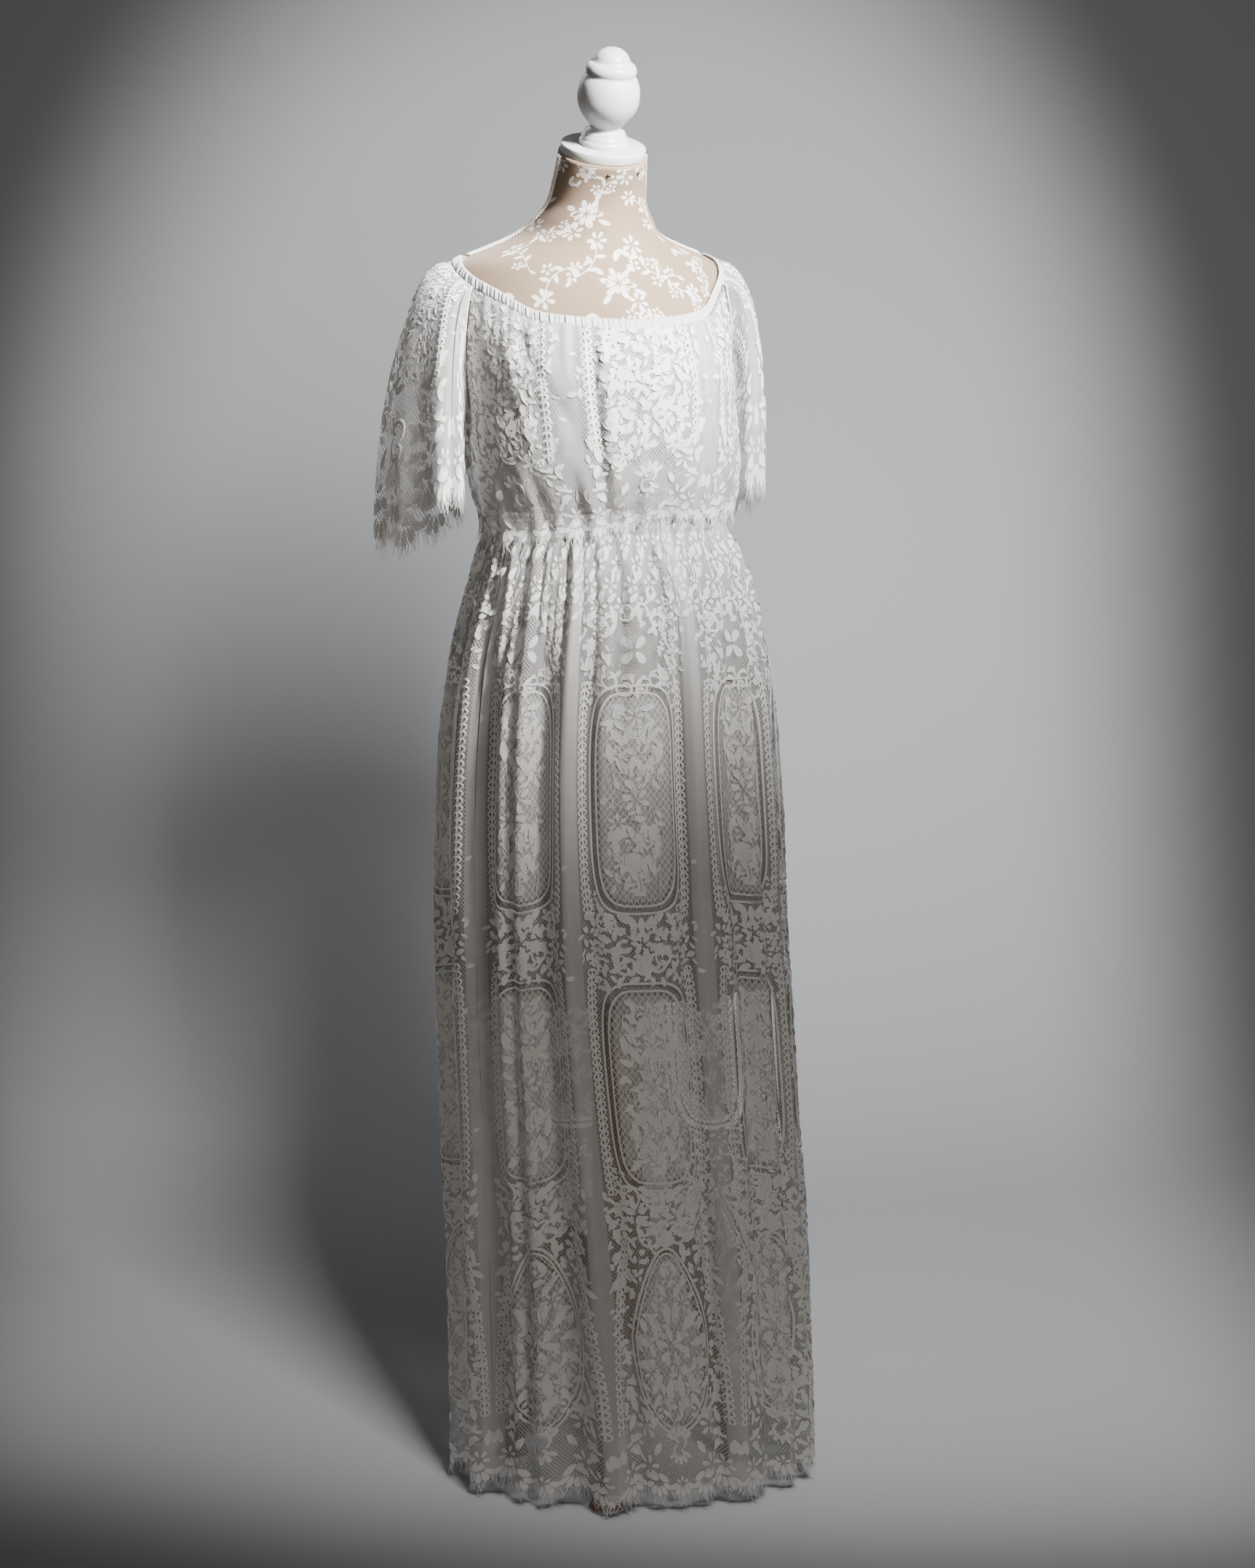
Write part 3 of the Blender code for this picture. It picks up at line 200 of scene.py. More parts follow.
BODICE_EASE = (
    (1.105, 1.122, 1.140, 1.165, 1.195, 1.230, 1.260, 1.300, 1.340, 1.430),
    (0.0145, 0.0130, 0.0160, 0.0235, 0.0270, 0.0215, 0.0130, 0.0110, 0.0088, 0.0052),
    (0.0140, 0.0125, 0.0145, 0.0200, 0.0225, 0.0180, 0.0125, 0.0110, 0.0088, 0.0052),
    (0.0135, 0.0120, 0.0135, 0.0190, 0.0220, 0.0190, 0.0130, 0.0110, 0.0088, 0.0052),
)
SKIRT_TOP = 1.1217
REPEAT = 0.1724
FLAT_LENGTH = 1.11
HEADING = 0.022


class DressForm:
    """The padded torso's skin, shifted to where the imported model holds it."""

    tilt_starts, tilt, top = 1.4915, math.tan(math.radians(17.0)), 1.548

    def __init__(self) -> None:
        """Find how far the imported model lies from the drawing's middle line."""
        low, high = (Vector(corner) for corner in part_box("stand_post"))
        self.shift = np.array([(low.x + high.x) / 2.0 - 0.011, (low.y + high.y) / 2.0 + 0.004, 0.0])

    def skin(self, azimuth: Values, z: Values) -> Values:
        """Points on the skin at azimuths and heights, before the shift."""
        azimuth, z = np.broadcast_arrays(np.asarray(azimuth, float), np.asarray(z, float))
        x, y, side = FORM.reach(azimuth, z)
        tilt = smooth_step(self.tilt_starts, self.top, z) * self.tilt
        return np.stack([x, y, z + (y - side) * tilt], axis=-1)

    def lifted(self, azimuth: Values, z: Values, lift: Values) -> Values:
        """Points that stand off the skin by a lift, before the shift."""
        around = self.skin(azimuth + 0.5, z) - self.skin(azimuth - 0.5, z)
        upward = self.skin(azimuth, z + 0.0005) - self.skin(azimuth, z - 0.0005)
        normal = np.cross(around, upward)
        normal /= np.linalg.norm(normal, axis=-1, keepdims=True)
        return self.skin(azimuth, z) + normal * np.asarray(lift)[..., None]

    def down(self, azimuth: Values, z: Values, distance: float) -> Values:
        """Heights reached by going down the skin by a distance."""
        for _ in range(6):
            step = np.linalg.norm(self.skin(azimuth, z) - self.skin(azimuth, z - 0.0005), axis=-1)
            z = z - 0.0005 * (distance / 6.0) / step
        return z

    def neckline(self, azimuth: Values) -> Values:
        """The height of the neck casing's middle line."""
        return table_value(*NECKLINE, np.abs((azimuth + 180.0) % 360.0 - 180.0))


class ClothSurface:
    """A cloth's shape in space, by its flat place across and up from its hem."""

    def __init__(self, form: DressForm) -> None:
        """Keep the form that carries the cloth."""
        self.form = form

    def point(self, across: Values, up: Values) -> Values:
        """Points of the cloth before the shift."""
        raise NotImplementedError

    def raised(self, across: Values, up: Values, lift: Values) -> Values:
        """Points that stand off the cloth.

        Args:
            across: Flat metres round the body.
            up: Flat metres up from the hem.
            lift: Metres out from the cloth's middle.

        Returns:
            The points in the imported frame.
        """
        step = 0.0012
        along = self.point(across + step, up) - self.point(across - step, up)
        upward = self.point(across, up + step) - self.point(across, up - step)
        normal = np.cross(along, upward)
        normal /= np.maximum(np.linalg.norm(normal, axis=-1, keepdims=True), 1e-9)
        return self.point(across, up) + normal * np.asarray(lift)[..., None] + self.form.shift


class SkirtSurface(ClothSurface):
    """The gathered skirt, whose folds widen from the hip to the hem."""

    def __init__(self, form: DressForm) -> None:
        """Measure the cloth once round, to find the column of any flat place."""
        super().__init__(form)
        self.columns = np.linspace(0.0, 2.0 * len(FOLDS), 16 * len(FOLDS) + 1)
        ring = self.shape(self.columns, np.full_like(self.columns, 0.58))
        steps = np.linalg.norm(np.diff(ring, axis=0), axis=1)
        lengths = np.concatenate([[0.0], np.cumsum(steps)])
        self.width = float(lengths[-1])
        centre = 2.0 * float(np.where(FOLDS[:, 0] == -10.0)[0][0])
        self.lengths = lengths - np.interp(centre, self.columns, lengths)

    def column_at(self, across: Values) -> Values:
        """Column numbers, in half folds, of flat places."""
        scaled = np.asarray(across, float) * (self.width / (8.0 * REPEAT))
        low = self.lengths[0]
        return np.interp((scaled - low) % self.width + low, self.lengths, self.columns)

    def place(self, column: Values, z: Values) -> tuple[Values, Values]:
        """The azimuth and the fold's offset at a column and a height."""
        count = len(FOLDS)
        index = (column // 2).astype(int) % count
        share = (column % 2.0) / 2.0
        towards = np.clip((0.86 - z) / 0.86, 0.0, 1.0)
        strength = 1.0 - smooth_step(0.86, 1.10, z)
        azimuths, offsets = [], []
        for number in (index, (index + 1) % count):
            azimuths.append(FOLDS[number, 0] + (FOLDS[number, 1] - FOLDS[number, 0]) * towards ** 1.5)
            offsets.append((FOLDS[number, 2] + (FOLDS[number, 3] - FOLDS[number, 2]) * towards) * strength)
        rise = 0.5 - 0.5 * np.cos(np.pi * share)
        span = (azimuths[1] - azimuths[0]) % 360.0
        return azimuths[0] + span * share, offsets[0] + (offsets[1] - offsets[0]) * rise

    def shape(self, column: Values, z: Values, extra: Values | float = 0.0) -> Values:
        """Points of the skirt at columns and heights."""
        azimuth, offset = self.place(column, z)
        return self.off_body(azimuth, z, offset + extra)

    def off_body(self, azimuth: Values, z: Values, offset: Values) -> Values:
        """Points that stand off the skirt's body by an offset."""
        x, y, _ = SKIRT.reach(azimuth, z)
        return np.stack([x + np.sin(np.radians(azimuth)) * offset,
                         y - np.cos(np.radians(azimuth)) * offset, z], axis=-1)

    def hem(self, column: Values) -> Values:
        """The hem's height, lower on the ridges."""
        offset = self.place(column, np.zeros_like(column))[1]
        return 0.018 - 0.35 * offset

    def point(self, across: Values, up: Values) -> Values:
        """Points of the skirt, whose heading goes on over the waist casing."""
        across, up = np.broadcast_arrays(np.asarray(across, float), np.asarray(up, float))
        column = self.column_at(across)
        hem = self.hem(column)
        z = hem + up * (SKIRT_TOP - hem) / FLAT_LENGTH
        below = np.minimum(up, 0.0)
        z = np.where(up < 0.0, np.maximum(hem + up, 0.0012), np.minimum(z, SKIRT_TOP))
        gathered = smooth_step(1.1225, 1.100, z) * smooth_step(0.84, 1.05, z)
        gather = uneven_waves(across, 0.047, 0.7) * 0.0052 + uneven_waves(across, 0.019, 2.1) * 0.0016
        gather = (gather + 0.0012) * gathered
        creases = uneven_waves(across + 0.02 * np.sin(9.0 * up), 0.055, 1.9) * 0.0014
        creases = creases * (1.0 - smooth_step(1.02, 1.10, z))
        spread = np.where(up < 0.0, -below * 0.25, 0.0)
        lower = self.shape(column, z, gather + creases - 0.0008 + spread)
        azimuth = self.place(column, np.full_like(z, SKIRT_TOP))[0]
        over = np.maximum(up - FLAT_LENGTH, 0.0)
        lift = 0.0050 + 0.0022 * smooth_step(0.0, 0.007, over)
        lift = lift + 0.0012 * uneven_waves(across, 0.012, 0.4) * smooth_step(0.0, 0.01, over)
        upper = self.form.lifted(azimuth, SKIRT_TOP + over, lift)
        return np.where((up > FLAT_LENGTH)[..., None], upper, lower)


class SkirtLiningSurface(SkirtSurface):
    """The short lining inside the skirt, 0.53 m long."""

    def point(self, across: Values, up: Values) -> Values:
        """Points of the lining, which follows the valleys from inside."""
        across, up = np.broadcast_arrays(np.asarray(across, float), np.asarray(up, float))
        column = self.column_at(across)
        z = np.minimum(0.590 + up, SKIRT_TOP)
        azimuth, offset = self.place(column, z)
        offset = np.where(offset > 0.0, offset * 0.45, offset)
        share = np.clip((SKIRT_TOP - z) / (SKIRT_TOP - 1.098), 0.0, 1.0)
        inset = 0.0027 + (0.0081 - 0.0027) * share
        wave = 0.0012 * uneven_waves(across, 0.05, 2.2) * smooth_step(1.05, 0.9, z)
        return self.off_body(azimuth, z, offset - inset + wave)


class BodiceSurface(ClothSurface):
    """The loose bodice lace, from its sloping hem up to the neck casing."""

    repeats, rise = 6, 0.94

    def __init__(self, form: DressForm) -> None:
        """Find the top edge at every azimuth once."""
        super().__init__(form)
        self.azimuths = np.linspace(-180.0, 180.0, 721)
        place = np.abs(self.azimuths)
        edge = form.down(place, form.neckline(place), 0.0063)
        reach = np.clip(np.abs(place - 90.0) / 18.0, 0.0, 1.0)
        self.tops = np.where(reach < 1.0, edge - (edge - 1.238) * (1.0 - reach ** 1.4), edge)

    @property
    def width(self) -> float:
        """The cloth's flat width all round."""
        return self.repeats * REPEAT

    def azimuth_at(self, across: Values) -> Values:
        """The azimuth of a flat place."""
        return np.asarray(across) / self.width * 360.0

    def top(self, azimuth: Values) -> Values:
        """The height of the top edge."""
        return np.interp((azimuth + 180.0) % 360.0 - 180.0, self.azimuths, self.tops)

    def hem(self, azimuth: Values) -> Values:
        """The hem's height: it rises towards the wearer's left at the front."""
        place = (azimuth + 180.0) % 360.0 - 180.0
        rise = smooth_step(-45.0, 10.0, place) * (1.0 - smooth_step(90.0, 150.0, place))
        return 1.109 + 0.023 * rise + 0.003 * np.sin(np.radians(place * 7.0))

    def length(self, across: Values) -> Values:
        """The flat length from the hem to the top edge."""
        azimuth = self.azimuth_at(across)
        return (self.top(azimuth) - self.hem(azimuth)) / self.rise

    def lift(self, azimuth: Values, z: Values) -> Values:
        """How far the lace stands off the form."""
        front, side, back = (table_value(BODICE_EASE[0], row, z) for row in BODICE_EASE[1:])
        forward = np.cos(np.radians(azimuth))
        return side + (np.where(forward > 0.0, front, back) - side) * forward * forward

    def point(self, across: Values, up: Values) -> Values:
        """Points of the bodice with its creases."""
        across, up = np.broadcast_arrays(np.asarray(across, float), np.asarray(up, float))
        azimuth = self.azimuth_at(across)
        hem, top = self.hem(azimuth), self.top(azimuth)
        z = np.minimum(hem + up * self.rise, 1.47)
        lift = np.maximum(self.lift(azimuth, np.maximum(z, 1.105)), 0.0056)
        place = (azimuth + 180.0) % 360.0 - 180.0
        away = np.abs(np.abs(place) - 90.0)
        loose = smooth_step(16.0, 26.0, away)
        under_casing = loose * smooth_step(0.075, 0.010, top - z)
        lift = lift + 0.0016 * under_casing * uneven_waves(across, 0.021, 1.3)
        above_waist = smooth_step(1.215, 1.145, z)
        lift = lift + 0.0036 * above_waist * uneven_waves(across, 0.043, 0.2)
        middle = smooth_step(1.130, 1.160, z) * smooth_step(1.350, 1.310, z)
        lift = lift - 0.0045 * middle * np.exp(-((place + 19.0) / 2.2) ** 2)
        lift = lift + 0.0022 * middle * np.exp(-((place + 14.0) / 3.0) ** 2)
        for number, (at_top, at_bust, depth) in enumerate((
                (47.0, 12.0, 0.0026), (48.0, 22.0, 0.0030), (50.0, 33.0, 0.0028), (52.0, 43.0, 0.0020),
                (-52.0, -36.0, 0.0018), (-55.0, -47.0, 0.0018))):
            share = smooth_step(1.36, 1.21, z)
            ridge = at_top + (at_bust - at_top) * share
            spread = 1.6 + 2.4 * share
            strength = smooth_step(1.195, 1.235, z) * smooth_step(1.368, 1.340, z)
            wave = np.exp(-((place - ridge) / spread) ** 2) - np.exp(-((place - ridge - 2.6 * spread) / spread) ** 2)
            lift = lift + depth * strength * wave * (1.0 if number % 2 else 0.85)
        below = np.minimum(up, 0.0)
        lift = lift - below * 0.2 - 0.0008
        return self.form.lifted(azimuth, z, lift)


@dataclass(frozen=True)
class SleeveHem:
    """The ring of a sleeve's hem."""

    centre_x: float
    centre_y: float
    half_x: float
    half_y: float
    turn: float
    z: float
    front_rise: float
    outer_rise: float


class SleeveSurface(ClothSurface):
    """A flared sleeve that hangs empty from the armhole and the casing."""

    repeats = 2
    folds = (0.4, -0.7, 0.9, -1.0, 0.6, -0.5, 0.3, -0.6, 0.8, -0.9, 1.0, -0.6)
    hems = {
        Side.LEFT: SleeveHem(0.1945, 0.078, 0.0270, 0.074, 12.0, 1.132, 0.022, 0.012),
        Side.RIGHT: SleeveHem(0.2020, 0.076, 0.0300, 0.080, 16.0, 1.117, 0.034, 0.006),
    }

    def __init__(self, form: DressForm, bodice: BodiceSurface, side: Side) -> None:
        """Find the armhole's edge and the sleeve's length at every turn once."""
        super().__init__(form)
        self.hem, self.side = self.hems[side], side
        self.turns = np.linspace(0.0, TAU, 361)
        quarters = self.turns / (math.pi / 2.0) % 4.0
        reach = 1.0 - np.abs(quarters % 2.0 - 1.0)
        azimuth = 90.0 + 18.0 * reach * np.where(quarters < 2.0, -1.0, 1.0)
        over = form.lifted(azimuth, form.down(azimuth, form.neckline(azimuth), 0.0070), 0.00445 + 0 * azimuth)
        edge = bodice.top(azimuth)
        under = form.lifted(azimuth, edge, bodice.lift(azimuth, edge) + 0.0016)
        self.starts = np.where((np.cos(self.turns) > 0.01)[:, None], over, under)
        shares = np.linspace(0.0, 1.0, 41)
        lines = self.middle(self.turns[:, None] + 0 * shares, shares + 0 * self.turns[:, None])
        self.lengths = np.linalg.norm(np.diff(lines, axis=1), axis=2).sum(1)

    @property
    def width(self) -> float:
        """The cloth's flat width all round."""
        return self.repeats * REPEAT

    def armhole(self, turn: Values) -> Values:
        """Points of the armhole's edge."""
        turn = turn % TAU
        return np.stack([np.interp(turn, self.turns, self.starts[:, axis]) for axis in range(3)], axis=-1)

    def middle(self, turn: Values, share: Values) -> Values:
        """A curve from the armhole to the hem, with soft folds."""
        hem = self.hem
        over = 0.5 + 0.5 * np.cos(turn)
        start = self.armhole(turn)
        place = turn - math.radians(30.0) * (1.0 - over)
        across, forward = hem.half_x * np.cos(place), -hem.half_y * np.sin(place)
        tilt = math.radians(hem.turn)
        end = np.stack([hem.centre_x + across * math.cos(tilt) + forward * math.sin(tilt),
                        hem.centre_y - across * math.sin(tilt) + forward * math.cos(tilt),
                        hem.z + hem.front_rise * np.sin(place) + hem.outer_rise * np.cos(place)], axis=-1)
        first = start + np.stack([0.004 + 0.044 * over, -0.020 * np.sin(turn), -0.010 + 0.014 * over], axis=-1)
        second = np.stack([end[..., 0] + 0.004 * over, end[..., 1],
                           end[..., 2] + (start[..., 2] - end[..., 2]) * 0.62], axis=-1)
        weights = ((1 - share) ** 3, 3 * share * (1 - share) ** 2, 3 * share ** 2 * (1 - share), share ** 3)
        point = sum(weight[..., None] * knot for weight, knot in zip(weights, (start, first, second, end)))
        position = (turn / TAU * len(self.folds)) % len(self.folds)
        index = position.astype(int) % len(self.folds)
        blend = smooth_step(0.0, 1.0, position - np.floor(position))
        folds = np.array(self.folds)
        fold = folds[index] * (1 - blend) + folds[(index + 1) % len(folds)] * blend
        depth = fold * 0.0045 * (0.35 + 0.65 * over) * share ** 1.3
        depth = depth + 0.0024 * over * uneven_waves(turn, 1.10, 0.9) * smooth_step(0.02, 0.15, share)
        outward = np.stack([np.cos(turn), -np.sin(turn), 0.0 * turn], axis=-1)
        return point + outward * depth[..., None]

    def length(self, across: Values) -> Values:
        """The flat length from the hem to the armhole."""
        return np.interp(self.turn_at(across) % TAU, self.turns, self.lengths)

    def turn_at(self, across: Values) -> Values:
        """The turn round the armhole of a flat place."""
        return -self.side.value * np.asarray(across, float) / self.width * TAU

    def point(self, across: Values, up: Values) -> Values:
        """Points of the sleeve; the wearer's right one is mirrored."""
        across, up = np.broadcast_arrays(np.asarray(across, float), np.asarray(up, float))
        turn = self.turn_at(across)
        share = 1.0 - up / self.length(across)
        below = np.maximum(share - 1.0, 0.0) * self.length(across)
        point = self.middle(turn, np.clip(share, 0.0, 1.0))
        outward = np.stack([0.2 * np.cos(turn), -0.2 * np.sin(turn), -1.0 + 0.0 * turn], axis=-1)
        point = point + outward * below[..., None]
        return point * np.array([self.side.value, 1.0, 1.0])


class FormSkinSurface(ClothSurface):
    """The skin of the form round one place, for a printed motif."""

    def __init__(self, form: DressForm, azimuth: float, z: float) -> None:
        """Measure the skin round the place."""
        super().__init__(form)
        self.azimuth, self.z = azimuth, z
        a, b = np.array([azimuth - 1.0, azimuth + 1.0]), np.array([z, z])
        self.per_degree = float(np.linalg.norm(np.diff(form.skin(a, b), axis=0))) / 2.0
        steps = np.diff(form.skin(np.array([azimuth, azimuth]), np.array([z - 0.002, z + 0.002])), axis=0)
        self.per_height = float(np.linalg.norm(steps)) / 0.004

    def point(self, across: Values, up: Values) -> Values:
        """Points of the skin by metres from the place."""
        return self.form.skin(self.azimuth + across / self.per_degree, self.z + up / self.per_height)


# Meshes


def finished(shape: Shape, name: str) -> Mesh:
    """A bmesh as a mesh.

    Args:
        shape: The bmesh, which is freed.
        name: The mesh's name.

    Returns:
        The mesh.
    """
    mesh = bpy.data.meshes.new(name)
    shape.to_mesh(mesh)
    shape.free()
    return mesh


def flat_piece(shape: Shape, name: str) -> Mesh:
    """A flat bmesh as a mesh whose faces point up.

    Args:
        shape: The bmesh, which is freed.
        name: The mesh's name.

    Returns:
        The mesh.
    """
    shape.normal_update()
    down = [face for face in shape.faces if face.normal.z < 0.0]
    if down:
        bmesh.ops.reverse_faces(shape, faces=down)
    return finished(shape, name)


def coordinates(mesh: Mesh) -> Values:
    """A mesh's points."""
    points = np.zeros(len(mesh.vertices) * 3, np.float32)
    mesh.vertices.foreach_get("co", points)
    return points.reshape(-1, 3).astype(float)


def set_coordinates(mesh: Mesh, points: Values) -> None:
    """Move a mesh's points."""
    mesh.vertices.foreach_set("co", points.astype(np.float32).ravel())
    mesh.update()


def set_flat_map(mesh: Mesh, across: Values, up: Values) -> None:
    """Give a mesh a UV map called cloth, in flat metres."""
    layer = mesh.uv_layers.get("cloth") or mesh.uv_layers.new(name="cloth")
    corners = np.zeros(len(mesh.loops), np.int32)
    mesh.loops.foreach_get("vertex_index", corners)
    layer.data.foreach_set("uv", np.stack([across, up], axis=-1)[corners].astype(np.float32).ravel())


def show(name: str, mesh: Mesh, finish: "Finish", replaces: Iterable[str] = (),
         smooth: bool = True) -> Piece:
    """Add a finished piece that rides on the model.

    Args:
        name: The piece's name.
        mesh: Its mesh.
        finish: Its finish.
        replaces: CAD nodes that it stands for.
        smooth: Whether its faces are shaded smooth.

    Returns:
        The piece.
    """
    mesh.name = name
    mesh.materials.clear()
    mesh.materials.append(finish.material())
    if smooth:
        mesh.shade_smooth()
    piece = bpy.data.objects.new(name, mesh)
    bpy.context.scene.collection.objects.link(piece)
    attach(piece, "root")
    if replaces:
        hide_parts(*replaces)
    LOG.info("%s: %d faces", name, len(mesh.polygons))
    return piece


def cloth_grid(columns: int, rows: int, name: str) -> tuple[Mesh, Values, Values]:
    """A flat grid and the shares, from 0 to 1, of its points.

    Args:
        columns: Faces across.
        rows: Faces up.
        name: The mesh's name.

    Returns:
        The mesh and its points' shares across and up.
    """
    shape = bmesh.new()
    bmesh.ops.create_grid(shape, x_segments=columns, y_segments=rows, size=0.5)
    mesh = flat_piece(shape, name)
    points = coordinates(mesh)
    return mesh, points[:, 0] + 0.5, points[:, 1] + 0.5


def close_seam(mesh: Mesh, cap: bool = False) -> None:
    """Join a grid's two ends where they meet, and close its open rings where asked."""
    shape = bmesh.new()
    shape.from_mesh(mesh)
    bmesh.ops.remove_doubles(shape, verts=shape.verts, dist=0.00002)
    if cap:
        rims = [edge for edge in shape.edges if edge.is_boundary]
        bmesh.ops.holes_fill(shape, edges=rims, sides=0)
        bmesh.ops.recalc_face_normals(shape, faces=shape.faces)
    shape.to_mesh(mesh)
    shape.free()


def tube(name: str, paths: Sequence[Values], radius: float, closed: bool = False) -> Mesh:
    """Round cords along paths, as one mesh.

    Args:
        name: The mesh's name.
        paths: The points of each cord.
        radius: The cords' radius.
        closed: Whether each cord is a ring.

    Returns:
        The mesh.
    """
    curve = bpy.data.curves.new(name, "CURVE")
    curve.dimensions = "3D"
    curve.bevel_depth = radius
    curve.bevel_resolution = 1
    curve.use_fill_caps = not closed
    for path in paths:
        spline = curve.splines.new("POLY")
        spline.points.add(len(path) - 1)
        spline.points.foreach_set("co", np.column_stack([path, np.ones(len(path))]).ravel())
        spline.use_cyclic_u = closed
    carrier = bpy.data.objects.new(name, curve)
    mesh = bpy.data.meshes.new_from_object(carrier)
    bpy.data.objects.remove(carrier)
    bpy.data.curves.remove(curve)
    return mesh


# Flat lace motifs


class Motifs:
    """Small flat lace motifs, each shaped once and stamped many times."""

    def __init__(self) -> None:
        """Start with no motif made."""
        self.made: dict[tuple, Mesh] = {}

    def once(self, key: tuple, make: Callable[[], Mesh]) -> Mesh:
        """The motif with this key, made at its first use."""
        if key not in self.made:
            self.made[key] = make()
        return self.made[key]

    def petal(self, length: float, width: float, point: float = 0.0, sides: int = 10) -> Mesh:
        """A padded petal that grows up from its base at the origin.

        Args:
            length: Its length.
            width: Its width.
            point: How pointed its tip is, from 0 to 1.
            sides: The corners of its outline.

        Returns:
            The flat mesh.
        """
        def make() -> Mesh:
            """Shape the petal from a disc."""
            shape = bmesh.new()
            bmesh.ops.create_circle(shape, cap_ends=True, segments=sides, radius=0.5)
            for vert in shape.verts:
                t = vert.co.y + 0.5
                narrow = (0.50 + 0.50 * t) * (1.0 - point * max(t - 0.55, 0.0) * 1.6)
                vert.co = Vector((vert.co.x * width * narrow, t * length, 0.0002))
            bmesh.ops.inset_region(shape, faces=shape.faces, thickness=min(0.0011, width * 0.2), depth=0.0)
            inner = [vert for vert in shape.verts if not vert.is_boundary]
            for vert in inner:
                vert.co.z = 0.0009
            return flat_piece(shape, "petal")
        return self.once(("petal", length, width, point, sides), make)

    def leaf(self, length: float, width: float) -> Mesh:
        """A leaf pointed at both ends, with a sunk midrib."""
        def make() -> Mesh:
            """Shape the leaf from a grid."""
            shape = bmesh.new()
            bmesh.ops.create_grid(shape, x_segments=2, y_segments=5, size=0.5)
            for vert in shape.verts:
                t = vert.co.y + 0.5
                half = width * math.sin(math.pi * (0.06 + 0.88 * t)) ** 0.8
                rise = 0.0008 if 0.1 < t < 0.9 and abs(vert.co.x) > 0.1 else 0.0002
                vert.co = Vector((vert.co.x * half, t * length, rise))
            return flat_piece(shape, "leaf")
        return self.once(("leaf", length, width), make)

    def ring(self, outer: float, inner: float, sides: int = 14) -> Mesh:
        """A padded ring."""
        def make() -> Mesh:
            """Inset a disc twice and open its middle."""
            shape = bmesh.new()
            bmesh.ops.create_circle(shape, cap_ends=True, segments=sides, radius=outer)
            for rise in (0.0010, 0.0002):
                middle = max(shape.faces, key=lambda face: len(face.verts))
                bmesh.ops.inset_region(shape, faces=[middle], thickness=(outer - inner) / 2.0, depth=0.0)
                for vert in middle.verts:
                    vert.co.z = rise
            bmesh.ops.delete(shape, geom=[middle], context="FACES")
            return flat_piece(shape, "ring")
        return self.once(("ring", outer, inner, sides), make)

    def lump(self, width: float, height: float) -> Mesh:
        """A rung of a ladder band: a round lump with two small holes."""
        def make() -> Mesh:
            """Split a disc down its middle, inset both halves and open them."""
            shape = bmesh.new()
            bmesh.ops.create_circle(shape, cap_ends=True, segments=12, radius=0.5)
            top = max(shape.verts, key=lambda vert: (round(vert.co.y, 4), -abs(vert.co.x)))
            bottom = min(shape.verts, key=lambda vert: (vert.co - Vector((-top.co.x, -top.co.y, 0.0))).length)
            bmesh.ops.connect_verts(shape, verts=[top, bottom])
            for vert in shape.verts:
                vert.co = Vector((vert.co.x * width, vert.co.y * height, 0.0002))
            halves = list(shape.faces)
            bmesh.ops.inset_individual(shape, faces=halves, thickness=height * 0.235, depth=0.0)
            for vert in {vert for face in halves for vert in face.verts}:
                vert.co.z = 0.0009
            bmesh.ops.delete(shape, geom=halves, context="FACES")
            return flat_piece(shape, "lump")
        return self.once(("lump", width, height), make)

    def ribbon(self, key: str, path: Sequence[Point], width: float, closed: bool = False) -> Mesh:
        """A padded cord that follows a flat path.

        Args:
            key: The motif's name.
            path: The path's points.
            width: The cord's width.
            closed: Whether its ends meet.

        Returns:
            The flat mesh.
        """
        def make() -> Mesh:
            """Lay a narrow grid along the path."""
            points = [Vector((x, y)) for x, y in path]
            count = len(points) - 1
            shape = bmesh.new()
            bmesh.ops.create_grid(shape, x_segments=2, y_segments=count, size=0.5)
            for vert in shape.verts:
                number = round((vert.co.y + 0.5) * count)
                before, after = points[max(number - 1, 0)], points[min(number + 1, count)]
                if closed and number in (0, count):
                    before, after = points[count - 1], points[1]
                along = (after - before).normalized()
                taper = 1.0 if closed else 0.55 + 0.45 * math.sin(math.pi * number / count) ** 0.5
                place = points[number] + Vector((along.y, -along.x)) * vert.co.x * width * taper
                vert.co = Vector((place.x, place.y, 0.0002 if abs(vert.co.x) > 0.1 else 0.0011))
            if closed:
                bmesh.ops.remove_doubles(shape, verts=shape.verts, dist=0.00001)
            return flat_piece(shape, key)
        return self.once(("ribbon", key, width), make)

    def scroll(self, size: float, width: float, turns: float = 1.1) -> Mesh:
        """A curl that winds in from its open end."""
        path = []
        for step in range(15):
            t = step / 14.0
            angle, radius = TAU * turns * t, size * (1.0 - 0.72 * t)
            path.append((radius * math.sin(angle), size - radius * math.cos(angle)))
        return self.ribbon(f"scroll{size:.4f}{turns:.2f}", path, width)

    def thread(self, length: float, bend: float) -> Mesh:
        """A loose thread end that hangs down from the origin."""
        def make() -> Mesh:
            """Bend a narrow grid."""
            shape = bmesh.new()
            bmesh.ops.create_grid(shape, x_segments=1, y_segments=3, size=0.5)
            for vert in shape.verts:
                t = vert.co.y + 0.5
                half = 0.00040 * (1.0 - 0.6 * t)
                vert.co = Vector((vert.co.x * 2.0 * half + bend * t * t, -length * t, 0.0007))
            return flat_piece(shape, "thread")
        return self.once(("thread", length, bend), make)

